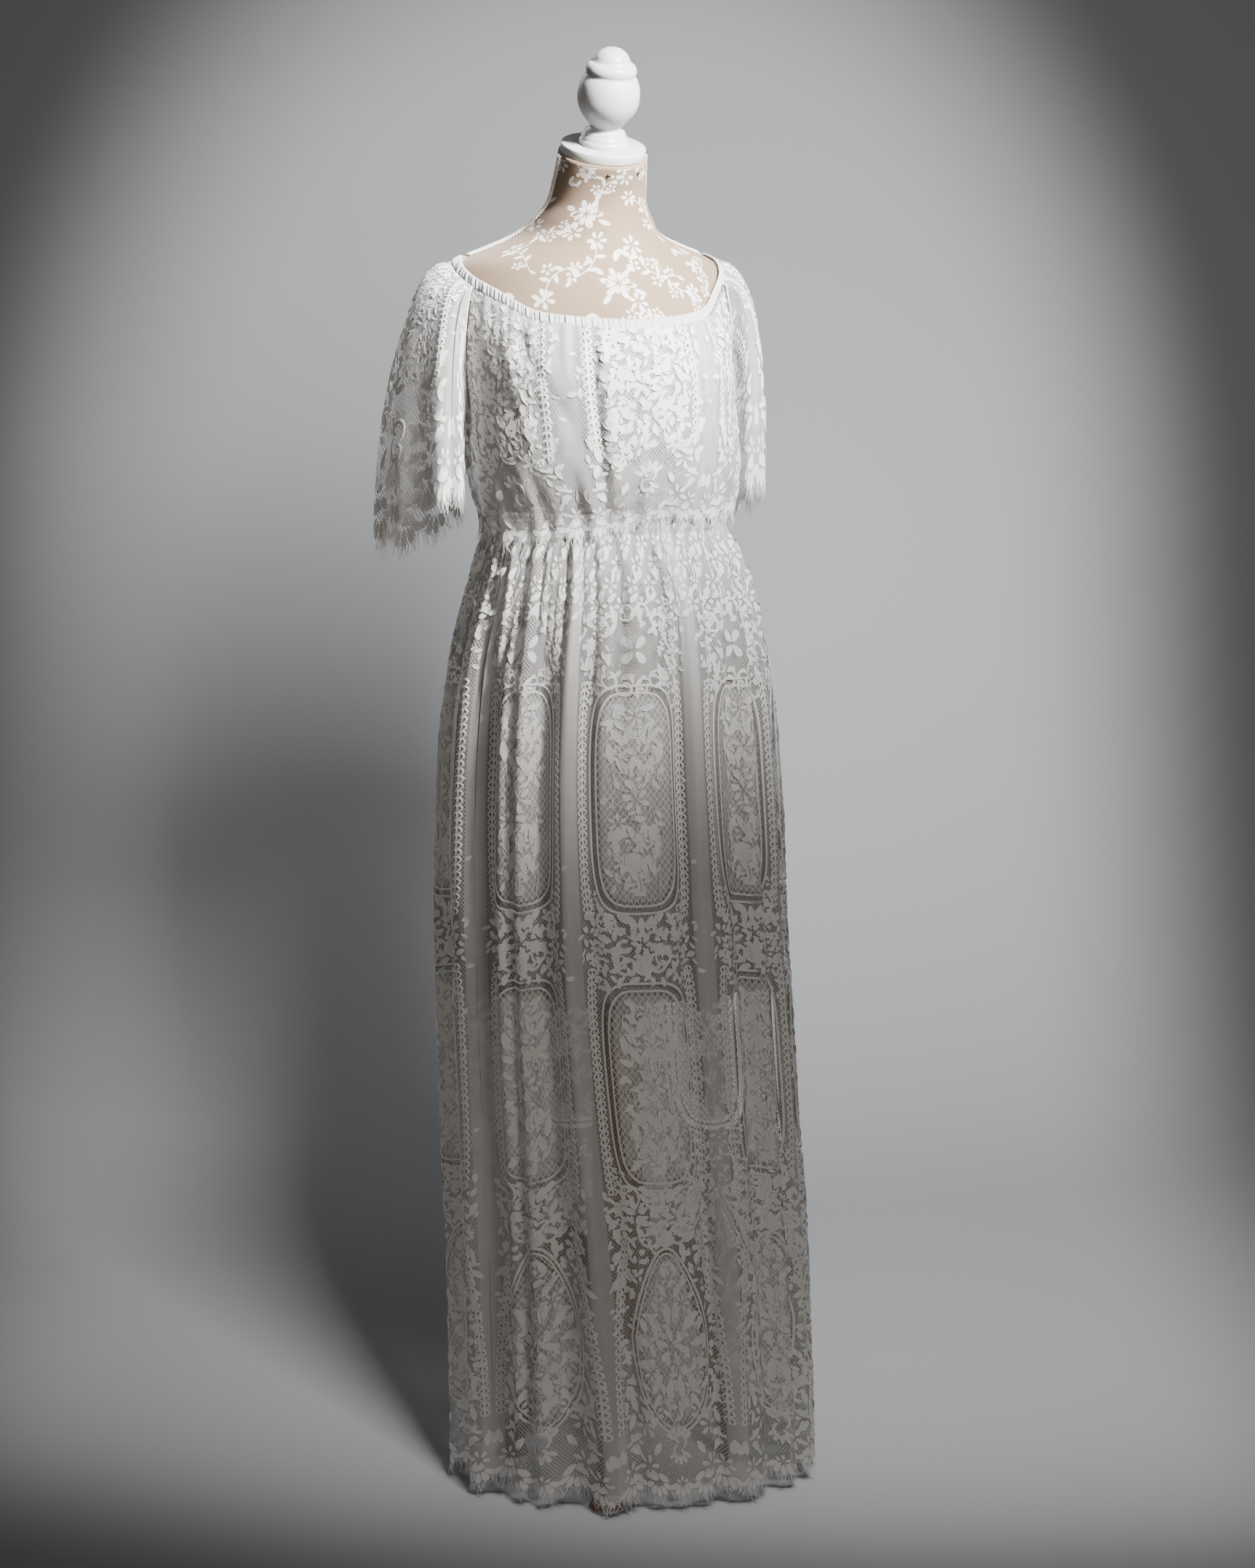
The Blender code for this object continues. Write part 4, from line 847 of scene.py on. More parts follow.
    def flower(self, radius: float, petals: int, fat: float = 0.62, point: float = 0.0) -> Mesh:
        """Petals round a small ring.

        Args:
            radius: The flower's radius.
            petals: How many petals it has.
            fat: A petal's width as a share of its length.
            point: How pointed its petals are.

        Returns:
            The flat mesh.
        """
        def make() -> Mesh:
            """Stamp the petals and the ring."""
            patch = Patch()
            length = radius * 0.74
            petal = self.petal(length, length * fat * 6.0 / petals, point, 9)
            for number in range(petals):
                turn = TAU * number / petals
                patch.stamp(petal, -math.sin(turn) * radius * 0.26, math.cos(turn) * radius * 0.26, turn)
            patch.stamp(self.ring(radius * 0.27, radius * 0.12, 8), 0.0, 0.0)
            return patch.mesh("flower")
        return self.once(("flower", radius, petals, fat, point), make)


class Patch:
    """A flat piece of lace on which motifs are stamped."""

    def __init__(self) -> None:
        """Start empty."""
        self.shape = bmesh.new()

    def stamp(self, motif: Mesh, x: float, y: float, turn: float = 0.0, size: float = 1.0,
              raise_by: float = 0.0) -> None:
        """Add a copy of a motif.

        Args:
            motif: The flat motif.
            x: Its place across.
            y: Its place up.
            turn: Its turn in radians.
            size: Its size as a share of its own.
            raise_by: How far it stands above the others.
        """
        copy = motif.copy()
        copy.transform(Matrix.Translation((x, y, raise_by)) @ Matrix.Rotation(turn, 4, "Z")
                       @ Matrix.Diagonal((size, size, 1.0, 1.0)))
        self.shape.from_mesh(copy)
        bpy.data.meshes.remove(copy)

    def pair(self, motif: Mesh, x: float, y: float, turn: float = 0.0, size: float = 1.0,
             raise_by: float = 0.0) -> None:
        """Add a motif on the left and on the right of the middle line."""
        self.stamp(motif, -x, y, turn, size, raise_by)
        self.stamp(motif, x, y, -turn, size, raise_by)

    def mesh(self, name: str) -> Mesh:
        """Finish the patch as a mesh."""
        return flat_piece(self.shape, name)


def window_path(half_width: float, half_height: float, centre: float, power: float, steps: int,
                taper: float = 0.0) -> list[Point]:
    """The closed outline of a window.

    Args:
        half_width: Half its width.
        half_height: Half its height.
        centre: The height of its middle.
        power: How square it is.
        steps: The outline's steps.
        taper: How much narrower its top is than its middle.

    Returns:
        Its points, the first again at the end.
    """
    path = []
    for step in range(steps + 1):
        angle = TAU * step / steps
        c, s = math.cos(angle), math.sin(angle)
        x = math.copysign(abs(c) ** (2.0 / power), c) * half_width
        y = math.copysign(abs(s) ** (2.0 / power), s) * half_height
        path.append((x * (1.0 - taper * max(y, 0.0) / half_height), centre + y))
    return path


@dataclass(frozen=True)
class Window:
    """An open window of the lace: its middle height and its outer half sizes."""

    centre: float
    half_width: float
    half_height: float
    band: float
    power: float = 2.6
    taper: float = 0.0

    def holds(self, x: float, y: float, margin: float) -> bool:
        """Whether a flat place is in the window, inside its band and a margin."""
        half_width, half_height = (half - self.band - margin for half in (self.half_width, self.half_height))
        up = y - self.centre
        half_width *= 1.0 - self.taper * max(up, 0.0) / self.half_height
        return abs(x / half_width) ** self.power + abs(up / half_height) ** self.power < 1.0


@dataclass
class LaceDesign:
    """One repeat of the lace in the flat, of traditional flowers, leaves, ladders and windows."""

    panel: Panel = Panel.SKIRT
    half_column: float = 0.0735
    windows: tuple[Window, ...] = (
        Window(0.81, 0.054, 0.130, 0.0085, 4.2),
        Window(0.48, 0.054, 0.120, 0.0085, 4.2),
        Window(0.185, 0.054, 0.108, 0.006, 2.2, 0.45),
    )
    ladder_runs: tuple[tuple[float, float], ...] = ((0.355, 0.615), (0.675, 0.945))
    ladder_place: float = 0.0645
    field_top: float = 1.03
    net_cell: float = 0.0050
    net_stretch: float = 1.35
    net_thread: float = 0.00058
    hem_petals: int = 5
    motifs: Motifs = field(default_factory=Motifs)
    chance: random.Random = field(default_factory=lambda: random.Random(7))

    def build(self) -> Mesh:
        """Join all parts of the repeat into one flat mesh."""
        whole = Patch()
        parts = [self.coarse_net, self.window_lace, self.ladders, self.lower_medallion, self.hem_lace,
                 self.ground, self.loose_threads]
        if self.panel is Panel.SKIRT:
            parts += [self.chains, self.upper_field, self.upper_medallion, self.links, self.arch_lace]
        for part in parts:
            mesh = part()
            LOG.info("lace %s: %d faces", part.__name__, len(mesh.polygons))
            whole.stamp(mesh, 0.0, 0.0)
            bpy.data.meshes.remove(mesh)
        return whole.mesh("lace_repeat")

    def taken(self, x: float, y: float, margin: float) -> bool:
        """Whether a flat place is near a window, a ladder or a medallion."""
        near_window = any(window.holds(x, y, -window.band - margin) for window in self.windows)
        near_ladder = any(low - 0.006 < y < high + 0.006 and abs(abs(x) - self.ladder_place) < 0.009
                          for low, high in self.ladder_runs)
        rings = ((0.0, 0.062, 0.037),) if self.panel is Panel.UPPER else ((0.0, 0.062, 0.037), (0.0, 0.980, 0.034))
        near_ring = any(math.hypot(x - a, y - b) < reach for a, b, reach in rings)
        return near_window or near_ladder or near_ring

    def ground(self) -> Mesh:
        """Dense clothwork of small leaves and buds round the windows."""
        patch, motifs, chance = Patch(), self.motifs, random.Random(23)
        kinds = (motifs.leaf(0.0125, 0.0064), motifs.leaf(0.0100, 0.0056), motifs.petal(0.0088, 0.0068, 0.3, 8),
                 motifs.petal(0.0100, 0.0060, 0.6, 8))
        pitch = 0.0079
        for row in range(int((self.field_top - 0.095) / pitch)):
            for step in range(-9, 10):
                x = (step + 0.5 * (row % 2) + chance.uniform(-0.25, 0.25)) * pitch
                y = 0.095 + (row + chance.uniform(-0.25, 0.25)) * pitch
                edge = self.half_column - 0.001 + 0.003 * math.sin(y * 260.0)
                if abs(x) < edge and not self.taken(x, y, 0.0045):
                    patch.stamp(chance.choice(kinds), x, y, chance.uniform(0.0, TAU), chance.uniform(0.85, 1.15))
        for window in self.windows:
            for _ in range(120):
                x = chance.uniform(-0.041, 0.041)
                y = window.centre + chance.uniform(-1.0, 1.0) * window.half_height
                if window.holds(x, y, window.band + 0.004):
                    patch.stamp(chance.choice(kinds), x, y, chance.uniform(0.0, TAU), chance.uniform(0.9, 1.25))
        return patch.mesh("ground")

    def coarse_net(self) -> Mesh:
        """Open net of long meshes in every window."""
        whole = Patch()
        for window in self.windows:
            shape = bmesh.new()
            reach = (window.half_height / self.net_stretch + window.half_width) * 0.75
            count = int(2.0 * reach / self.net_cell)
            bmesh.ops.create_grid(shape, x_segments=count, y_segments=count, size=reach)
            turned = Matrix.Translation((0.0, window.centre, 0.0)) @ Matrix.Diagonal((1.0, self.net_stretch, 1.0, 1.0))
            bmesh.ops.transform(shape, matrix=turned @ Matrix.Rotation(math.radians(45.0), 4, "Z"), verts=shape.verts)
            outside = [face for face in shape.faces
                       if not window.holds(*face.calc_center_median().xy, -0.0015)]
            bmesh.ops.delete(shape, geom=outside, context="FACES")
            cells = list(shape.faces)
            bmesh.ops.inset_individual(shape, faces=cells, thickness=self.net_thread, depth=0.0)
            bmesh.ops.delete(shape, geom=cells, context="FACES")
            net = flat_piece(shape, "coarse_net")
            whole.stamp(net, 0.0, 0.0)
            bpy.data.meshes.remove(net)
        return whole.mesh("coarse_nets")

    def window_lace(self) -> Mesh:
        """Cords round the two tall windows and clothwork in them."""
        patch, motifs = Patch(), self.motifs
        if self.panel is Panel.UPPER:
            for number, y in enumerate((0.130, 0.172, 0.214, 0.256, 0.298)):
                patch.stamp(motifs.flower(0.0150, 6, 0.66), 0.006 * (-1) ** number, y, number * 0.4, 1.0, 0.0004)
                patch.pair(motifs.flower(0.0105, 6, 0.64), 0.030, y + 0.016, number * 0.6, 1.0, 0.0003)
                patch.pair(motifs.leaf(0.022, 0.0095), 0.014, y + 0.006, 0.8)
                patch.pair(motifs.leaf(0.019, 0.0085), 0.040, y - 0.006, -0.3)
            return patch.mesh("upper_sprays")
        for window in self.windows[:2]:
            for inset, width in ((0.0, 0.0030), (window.band, 0.0026)):
                path = window_path(window.half_width - inset, window.half_height - inset, window.centre,
                                   window.power, 56)
                patch.stamp(motifs.ribbon(f"cord{window.centre}{inset}", path, width, closed=True), 0.0, 0.0)
            big, small = motifs.flower(0.0165, 6, 0.66), motifs.flower(0.0115, 6, 0.64)
            leaf, long_leaf = motifs.leaf(0.017, 0.0080), motifs.leaf(0.024, 0.0090)
            patch.stamp(big, 0.0, window.centre, 0.2, 1.0, 0.0004)
            top = window.half_height - window.band
            for sign in (1.0, -1.0):
                for share, x, flower in ((0.42, 0.004, small), (0.42, -0.018, small), (0.78, 0.0, small),
                                         (0.60, 0.017, small), (0.22, 0.021, small)):
                    patch.stamp(flower, x * sign, window.centre + sign * top * share, share * 5.0, 1.0, 0.0003)
                for share, x, turn in ((0.24, 0.010, 0.5), (0.24, 0.012, -0.6), (0.52, 0.013, 0.7),
                                       (0.52, 0.012, -0.3), (0.66, 0.011, 0.9), (0.84, 0.009, 1.2),
                                       (0.34, 0.026, 0.2)):
                    patch.pair(long_leaf if share < 0.6 else leaf, x, window.centre + sign * top * share,
                               turn + (0.0 if sign > 0.0 else math.pi))
                for step in range(9):
                    turn, x = self.chance.uniform(0.0, TAU), self.chance.uniform(-0.026, 0.026)
                    y = window.centre + sign * self.chance.uniform(0.02, top * 0.86)
                    if window.holds(x, y, 0.009):
                        patch.stamp(leaf, x, y, turn, self.chance.uniform(0.7, 1.1))
        return patch.mesh("window_lace")

    def ladders(self) -> Mesh:
        """Ladder bands beside the windows and slanting beside the arch."""
        patch = Patch()
        lump = self.motifs.lump(0.0135, 0.0094)
        for low, high in self.ladder_runs:
            count = int((high - low) / 0.0085)
            for step in range(count + 1):
                y = low + step * 0.0085
                patch.pair(lump, self.ladder_place - 0.004 * abs(2.0 * step / count - 1.0) ** 6, y)
        if self.panel is Panel.UPPER:
            return patch.mesh("ladders")
        path = ((0.050, 0.300), (0.060, 0.255), (0.070, 0.200), (0.0755, 0.140), (0.0770, 0.085))
        for step in range(26):
            t = step / 25.0 * (len(path) - 1)
            index = min(int(t), len(path) - 2)
            here, beyond = Vector(path[index]), Vector(path[index + 1])
            place = here.lerp(beyond, t - index)
            patch.pair(lump, place.x, place.y, math.atan2(beyond.x - here.x, here.y - beyond.y))
        return patch.mesh("ladders")

    def chains(self) -> Mesh:
        """Chains of ring-centred small flowers between the windows."""
        patch = Patch()
        flower, bud = self.motifs.flower(0.0080, 5, 0.70), self.motifs.petal(0.0075, 0.0050, 0.6, 8)
        for low, high in ((0.285, 0.375), (0.598, 0.698), (0.935, 1.030)):
            count = int((high - low) / 0.0165)
            for step in range(count + 1):
                y = low + step * (high - low) / count
                x = 0.049 + 0.006 * math.sin(step * 1.3)
                patch.pair(flower, x, y, step * 0.7)
                patch.pair(bud, x + 0.009, y + 0.005, -1.2)
                patch.pair(bud, x - 0.009, y + 0.003, 1.1)
        return patch.mesh("chains")

    def upper_field(self) -> Mesh:
        """Scattered flowers and leaves below the waist."""
        patch, motifs = Patch(), self.motifs
        flower, leaf = motifs.flower(0.0100, 5, 0.70), motifs.leaf(0.015, 0.0070)
        for row in range(5):
            y = 1.030 + row * 0.023
            for step in range(6):
                x = (step - 2.5 + 0.5 * (row % 2)) * 0.0285
                patch.stamp(flower, x, y, row + step * 0.9)
                patch.stamp(leaf, x + 0.010, y + 0.004, -0.9 + 0.3 * row)
                patch.stamp(leaf, x - 0.008, y - 0.006, 2.2 + 0.4 * step)
        return patch.mesh("upper_field")

    def upper_medallion(self) -> Mesh:
        """The upper medallion with its hanging flower and four scrolls."""
        patch, motifs = Patch(), self.motifs
        patch.stamp(motifs.ring(0.0310, 0.0255, 26), 0.0, 0.980)
        patch.stamp(motifs.ring(0.0222, 0.0200, 22), 0.0, 0.980)
        wing = motifs.petal(0.0175, 0.0130, 0.0, 10)
        for turn in (0.79, 2.36, 3.93, 5.50):
            patch.stamp(wing, -math.sin(turn) * 0.003, 0.980 + math.cos(turn) * 0.003, turn)
        patch.stamp(motifs.ring(0.0050, 0.0022, 10), 0.0, 0.980, 0.0, 1.0, 0.0006)
        patch.stamp(motifs.flower(0.0130, 6), 0.0, 0.938, 0.3, 1.0, 0.0003)
        curl = motifs.scroll(0.0115, 0.0034)
        for x, y, turn in ((0.034, 0.955, 2.6), (0.036, 1.000, 0.4), (0.018, 1.016, 0.9), (0.020, 0.944, 2.2)):
            patch.pair(curl, x, y, -turn)
        return patch.mesh("upper_medallion")

    def lower_medallion(self) -> Mesh:
        """The thick medallion above the hem."""
        patch, motifs = Patch(), self.motifs
        patch.stamp(motifs.ring(0.0335, 0.0275, 28), 0.0, 0.062)
        patch.stamp(motifs.ring(0.0262, 0.0242, 24), 0.0, 0.062)
        patch.stamp(motifs.scroll(0.0105, 0.0042, 0.9), 0.004, 0.060, 0.4, 1.0, 0.0004)
        patch.stamp(motifs.scroll(0.0105, 0.0042, 0.9), -0.004, 0.064, 0.4 + math.pi, 1.0, 0.0004)
        blade = motifs.petal(0.0150, 0.0085, 0.5, 10)
        for number in range(5):
            turn = -1.0 + number * 0.5
            patch.stamp(blade, -math.sin(turn) * 0.006, 0.066 + math.cos(turn) * 0.006, turn)
            patch.stamp(blade, math.sin(turn) * 0.006, 0.058 - math.cos(turn) * 0.006, turn + math.pi, 0.85)
        return patch.mesh("lower_medallion")

    def links(self) -> Mesh:
        """Scrolled clothwork that joins the windows."""
        patch, motifs = Patch(), self.motifs
        curl, wide_curl = motifs.scroll(0.0110, 0.0036), motifs.scroll(0.0150, 0.0040)
        flower, leaf = motifs.flower(0.0130, 6, 0.66), motifs.leaf(0.018, 0.0085)
        for centre in (0.645, 0.330):
            patch.stamp(flower, 0.0, centre, 0.4, 1.0, 0.0004)
            for sign, base in ((1.0, 0.0), (-1.0, math.pi)):
                for design, x, y, turn in ((curl, 0.016, 0.010, -1.0), (wide_curl, 0.030, 0.014, 0.9),
                                           (leaf, 0.006, 0.016, 0.4), (leaf, 0.012, 0.024, 0.9),
                                           (leaf, 0.034, 0.004, 1.3)):
                    patch.pair(design, x, centre + sign * y, base + turn)
                patch.stamp(leaf, 0.0, centre + sign * 0.013, base)
        return patch.mesh("links")

    def arch_lace(self) -> Mesh:
        """The lowest window: its cords, a large flower and leaf sprays."""
        patch, motifs, window = Patch(), self.motifs, self.windows[2]
        for inset, width in ((0.0, 0.0032), (window.band, 0.0024)):
            path = window_path(window.half_width - inset, window.half_height - inset, window.centre,
                               window.power, 56, window.taper)
            patch.stamp(motifs.ribbon(f"arch{inset}", path, width, closed=True), 0.0, 0.0)
        patch.stamp(motifs.flower(0.0235, 6, 0.66), 0.0, 0.178, 0.26, 1.0, 0.0005)
        small, leaf, long_leaf = motifs.flower(0.0110, 6), motifs.leaf(0.0165, 0.0078), motifs.leaf(0.026, 0.0105)
        patch.stamp(small, 0.0, 0.258, 0.0, 1.0, 0.0003)
        for x, y, turn in ((0.015, 0.228, 0.5), (0.030, 0.148, 0.9), (0.016, 0.118, 0.2)):
            patch.pair(small, x, y, turn, 1.0, 0.0003)
        for x, y, turn in ((0.004, 0.204, 0.12), (0.014, 0.196, 0.75), (0.025, 0.180, 1.25), (0.026, 0.162, 1.9),
                           (0.018, 0.146, 2.6), (0.006, 0.142, 3.0)):
            patch.pair(long_leaf, x, y, turn)
        for x, y, turn in ((0.006, 0.236, 0.4), (0.010, 0.262, -0.4), (0.034, 0.196, 0.3), (0.036, 0.128, 0.9),
                           (0.030, 0.108, -0.5), (0.008, 0.104, 0.6), (0.022, 0.212, 1.3), (0.040, 0.172, 0.5),
                           (0.060, 0.285, 2.6), (0.066, 0.255, 2.2), (0.050, 0.330, 1.2), (0.067, 0.320, 0.5)):
            patch.pair(leaf, x, y, turn)
        return patch.mesh("arch_lace")

    def hem_lace(self) -> Mesh:
        """Large petals and flowers along the scalloped hem."""
        patch, motifs = Patch(), self.motifs
        scallop, flower = motifs.petal(0.0130, 0.0088, 0.0, 12), motifs.flower(0.0115, 6, 0.66)
        daisy, leaf = motifs.flower(0.0150, 6, 0.64), motifs.leaf(0.017, 0.0085)
        pitch = REPEAT / self.hem_petals
        for number in range(self.hem_petals):
            x = (number + 0.5) * pitch - REPEAT / 2.0
            for turn in (-1.05, -0.52, 0.0, 0.52, 1.05):
                patch.stamp(scallop, x + 0.0070 * math.sin(turn), 0.0212 - 0.0062 * math.cos(turn), math.pi + turn)
            patch.stamp(motifs.ring(0.0052, 0.0026, 12), x, 0.0216)
        for x, y, design in ((0.046, 0.036, daisy), (0.070, 0.030, flower), (0.062, 0.062, flower),
                             (0.045, 0.084, daisy), (0.030, 0.100, flower)):
            patch.pair(design, x, y, x * 40.0, 1.0, 0.0002)
        for x, y, turn in ((0.055, 0.046, 0.8), (0.036, 0.052, -0.6), (0.078, 0.046, 0.2), (0.052, 0.070, 1.9),
                           (0.066, 0.078, -0.3), (0.036, 0.094, 0.9), (0.020, 0.020, 1.0), (0.058, 0.020, 1.5),
                           (0.034, 0.024, 1.4), (0.080, 0.064, 2.8), (0.056, 0.098, 0.3), (0.064, 0.112, 0.1)):
            patch.pair(leaf, x, y, turn)
        patch.stamp(flower, 0.0, 0.018, 0.0, 0.8, 0.0003)
        return patch.mesh("hem_lace")

    def loose_threads(self) -> Mesh:
        """Eyelash threads: a row at the hem and short ends on the clothwork."""
        patch, motifs, chance = Patch(), self.motifs, self.chance
        threads = [motifs.thread(length, bend) for length, bend in (
            (0.009, 0.002), (0.012, -0.003), (0.014, 0.004), (0.010, -0.002), (0.013, 0.003))]
        count = 96
        for number in range(count):
            x = (number + 0.5) / count * REPEAT - REPEAT / 2.0
            patch.stamp(chance.choice(threads), x, 0.0056 - 0.004 * math.cos(TAU * x / REPEAT * self.hem_petals),
                        chance.uniform(-0.45, 0.45) + 0.25 * math.sin(number * 0.9))
        for _ in range(220):
            x, y = chance.uniform(-0.040, 0.040), chance.uniform(0.02, self.field_top)
            patch.stamp(chance.choice(threads), x, y, chance.uniform(0.0, TAU), 0.8, 0.0010)
        for window in self.windows:
            for _ in range(130):
                x = chance.uniform(-0.042, 0.042)
                y = window.centre + chance.uniform(-1.0, 1.0) * window.half_height
                if window.holds(x, y, window.band + 0.004):
                    turn = chance.gauss(0.5 if x < 0.0 else -0.5, 0.5)
                    patch.stamp(chance.choice(threads), x, y, turn, chance.uniform(0.9, 1.5), 0.0013)
        return patch.mesh("loose_threads")


# Finishes


class NodeSheet:
    """Places and joins the nodes of one node tree."""

    def __init__(self, tree: NodeTree) -> None:
        """Keep the tree."""
        self.tree = tree

    def node(self, kind: str, **settings: object) -> Node:
        """A new node with its settings."""
        node = self.tree.nodes.new(kind)
        for name, value in settings.items():
            setattr(node, name, value)
        return node

    def join(self, source: Socket, target: Socket) -> None:
        """Join two sockets."""
        self.tree.links.new(source, target)

    def feed(self, socket: Socket, value: object) -> None:
        """Give a socket a number or another socket."""
        if isinstance(value, Socket):
            self.join(value, socket)
        else:
            socket.default_value = value

    def parts(self, place: Socket) -> Sequence[Socket]:
        """The x, y and z of a place."""
        node = self.node("ShaderNodeSeparateXYZ")
        self.join(place, node.inputs[0])
        return node.outputs

    def own_place(self) -> Socket:
        """The piece's own coordinates."""
        return self.node("ShaderNodeTexCoord").outputs["Object"]

    def effect(self, tree: NodeTree, **values: object) -> Socket:
        """The result of a node group with its values, whose names have _ for each space."""
        node = self.node("ShaderNodeGroup", node_tree=tree)
        for title, value in values.items():
            self.feed(node.inputs[title.replace("_", " ")], value)
        return node.outputs[0]

    def settle(self, shader: Node, **values: float) -> None:
        """Set the shader's own sockets, whose names have _ for each space."""
        for title, value in values.items():
            shader.inputs[title.replace("_", " ")].default_value = value

    def sum(self, operation: str, *values: object) -> Socket:
        """The result of a Math node."""
        node = self.node("ShaderNodeMath", operation=operation)
        for socket, value in zip(node.inputs, values):
            self.feed(socket, value)
        return node.outputs[0]

    def ramp(self, value: Socket, low: Socket | float, high: float, start: float = 0.0, end: float = 1.0) -> Socket:
        """A value taken smoothly from one range to another."""
        node = self.node("ShaderNodeMapRange", interpolation_type="SMOOTHSTEP")
        for socket, number in zip(node.inputs, (value, low, high, start, end)):
            self.feed(socket, number)
        return node.outputs[0]

    def blend(self, factor: object, first: object, second: object) -> Socket:
        """A mix of two colours."""
        node = self.node("ShaderNodeMix", data_type="RGBA")
        for number, value in ((0, factor), (6, first), (7, second)):
            self.feed(node.inputs[number], value)
        return node.outputs[2]


def effect_group(name: str, inputs: Sequence[tuple[str, str, float]], outputs: Sequence[str],
                 fill: Callable[[NodeSheet, Node, Node], None]) -> NodeTree:
    """A shader node group, built once.

    Args:
        name: The group's name.
        inputs: The name, kind and first value of each input.
        outputs: The names of its value outputs.
        fill: Joins the group's nodes between its input and output nodes.

    Returns:
        The group.
    """
    found = bpy.data.node_groups.get(name)
    if found is not None:
        return found
    tree = bpy.data.node_groups.new(name, "ShaderNodeTree")
    for title, kind, value in inputs:
        socket = tree.interface.new_socket(name=title, in_out="INPUT", socket_type=f"NodeSocket{kind}")
        if kind == "Float":
            socket.default_value = value
    for title in outputs:
        tree.interface.new_socket(name=title, in_out="OUTPUT", socket_type="NodeSocketFloat")
    sheet = NodeSheet(tree)
    fill(sheet, sheet.node("NodeGroupInput"), sheet.node("NodeGroupOutput"))
    return tree


def fill_weave(sheet: NodeSheet, given: Node, result: Node) -> None:
    """Over-and-under threads of a plain weave, uneven in thickness."""
    scaled = sheet.node("ShaderNodeVectorMath", operation="SCALE")
    sheet.join(given.outputs["Place"], scaled.inputs[0])
    sheet.join(sheet.sum("DIVIDE", TAU, given.outputs["Pitch"]), scaled.inputs["Scale"])
    x, y, _ = sheet.parts(scaled.outputs[0])
    crossing = sheet.sum("MULTIPLY", sheet.sum("SINE", x), sheet.sum("SINE", y))
    slub = sheet.node("ShaderNodeTexNoise")
    sheet.join(given.outputs["Place"], slub.inputs["Vector"])
    slub.inputs["Scale"].default_value = 260.0
    height = sheet.sum("MULTIPLY_ADD", crossing, 0.38, sheet.sum("MULTIPLY_ADD", slub.outputs[0], 0.5, 0.25))
    sheet.join(height, result.inputs["Height"])


def fill_net(sheet: NodeSheet, given: Node, result: Node) -> None:
    """How much of a diagonal net its threads cover."""
    x, y, _ = sheet.parts(given.outputs["Place"])
    y = sheet.sum("MULTIPLY", y, 0.72)
    lines = []
    for operation in ("ADD", "SUBTRACT"):
        turn = sheet.sum("MULTIPLY", sheet.sum(operation, x, y), sheet.sum("DIVIDE", math.pi, given.outputs["Pitch"]))
        lines.append(sheet.sum("ABSOLUTE", sheet.sum("COSINE", turn)))
    strongest = sheet.sum("MAXIMUM", *lines)
    low = sheet.sum("SUBTRACT", 1.0, given.outputs["Thread"])
    sheet.join(sheet.ramp(strongest, low, 1.0), result.inputs["Cover"])


def fill_window(sheet: NodeSheet, given: Node, result: Node) -> None:
    """Whether a flat place lies in a window of the lace repeat."""
    x, y, _ = sheet.parts(given.outputs["Place"])
    across = sheet.sum("MULTIPLY", sheet.sum("SUBTRACT", sheet.sum("FLOORED_MODULO", sheet.sum(
        "ADD", sheet.sum("DIVIDE", x, REPEAT), 0.5), 1.0), 0.5), REPEAT)
    up = sheet.sum("SUBTRACT", y, given.outputs["Centre"])
    narrow = sheet.sum("SUBTRACT", 1.0, sheet.sum("MULTIPLY", given.outputs["Taper"], sheet.sum(
        "DIVIDE", sheet.sum("MAXIMUM", up, 0.0), given.outputs["Half height"])))
    total = sheet.sum("ADD", sheet.sum("POWER", sheet.sum("ABSOLUTE", sheet.sum(
        "DIVIDE", across, sheet.sum("MULTIPLY", given.outputs["Half width"], narrow))), given.outputs["Power"]),
        sheet.sum("POWER", sheet.sum("ABSOLUTE", sheet.sum("DIVIDE", up, given.outputs["Half height"])),
                  given.outputs["Power"]))
    sheet.join(sheet.ramp(total, 1.04, 0.96), result.inputs["Inside"])


class Finish:
    """A finish that makes its material once."""

    name: str

    def material(self) -> bpy.types.Material:
        """The finish's material."""
        found = bpy.data.materials.get(self.name)
        if found is None:
            found = bpy.data.materials.new(self.name)
            found.use_nodes = True
            sheet = NodeSheet(found.node_tree)
            self.dress(sheet, found.node_tree.nodes["Principled BSDF"])
        return found

    def dress(self, sheet: NodeSheet, shader: Node) -> None:
        """Join the finish's nodes to its shader."""
        raise NotImplementedError

    def place(self, sheet: NodeSheet) -> Socket:
        """Flat metres on the cloth's own map."""
        return sheet.node("ShaderNodeUVMap", uv_map="cloth").outputs[0]

    def weave(self, sheet: NodeSheet, place: Socket, pitch: float) -> Socket:
        """The height of a plain weave."""
        tree = effect_group("plain_weave", (("Place", "Vector", 0.0), ("Pitch", "Float", 0.001)),
                            ("Height",), fill_weave)
        return sheet.effect(tree, Place=place, Pitch=pitch)

    def bump(self, sheet: NodeSheet, shader: Node, height: Socket, distance: float) -> None:
        """Give the shader a relief."""
        node = sheet.node("ShaderNodeBump")
        sheet.settle(node, Strength=1.0, Distance=distance)
        sheet.join(height, node.inputs["Height"])
        sheet.join(node.outputs[0], shader.inputs["Normal"])

    def noise(self, sheet: NodeSheet, place: Socket, scale: float, detail: float = 2.0
              ) -> Socket:
        """Soft noise at a scale."""
        node = sheet.node("ShaderNodeTexNoise")
        sheet.join(place, node.inputs["Vector"])
        sheet.settle(node, Scale=scale, Detail=detail)
        return node.outputs[0]


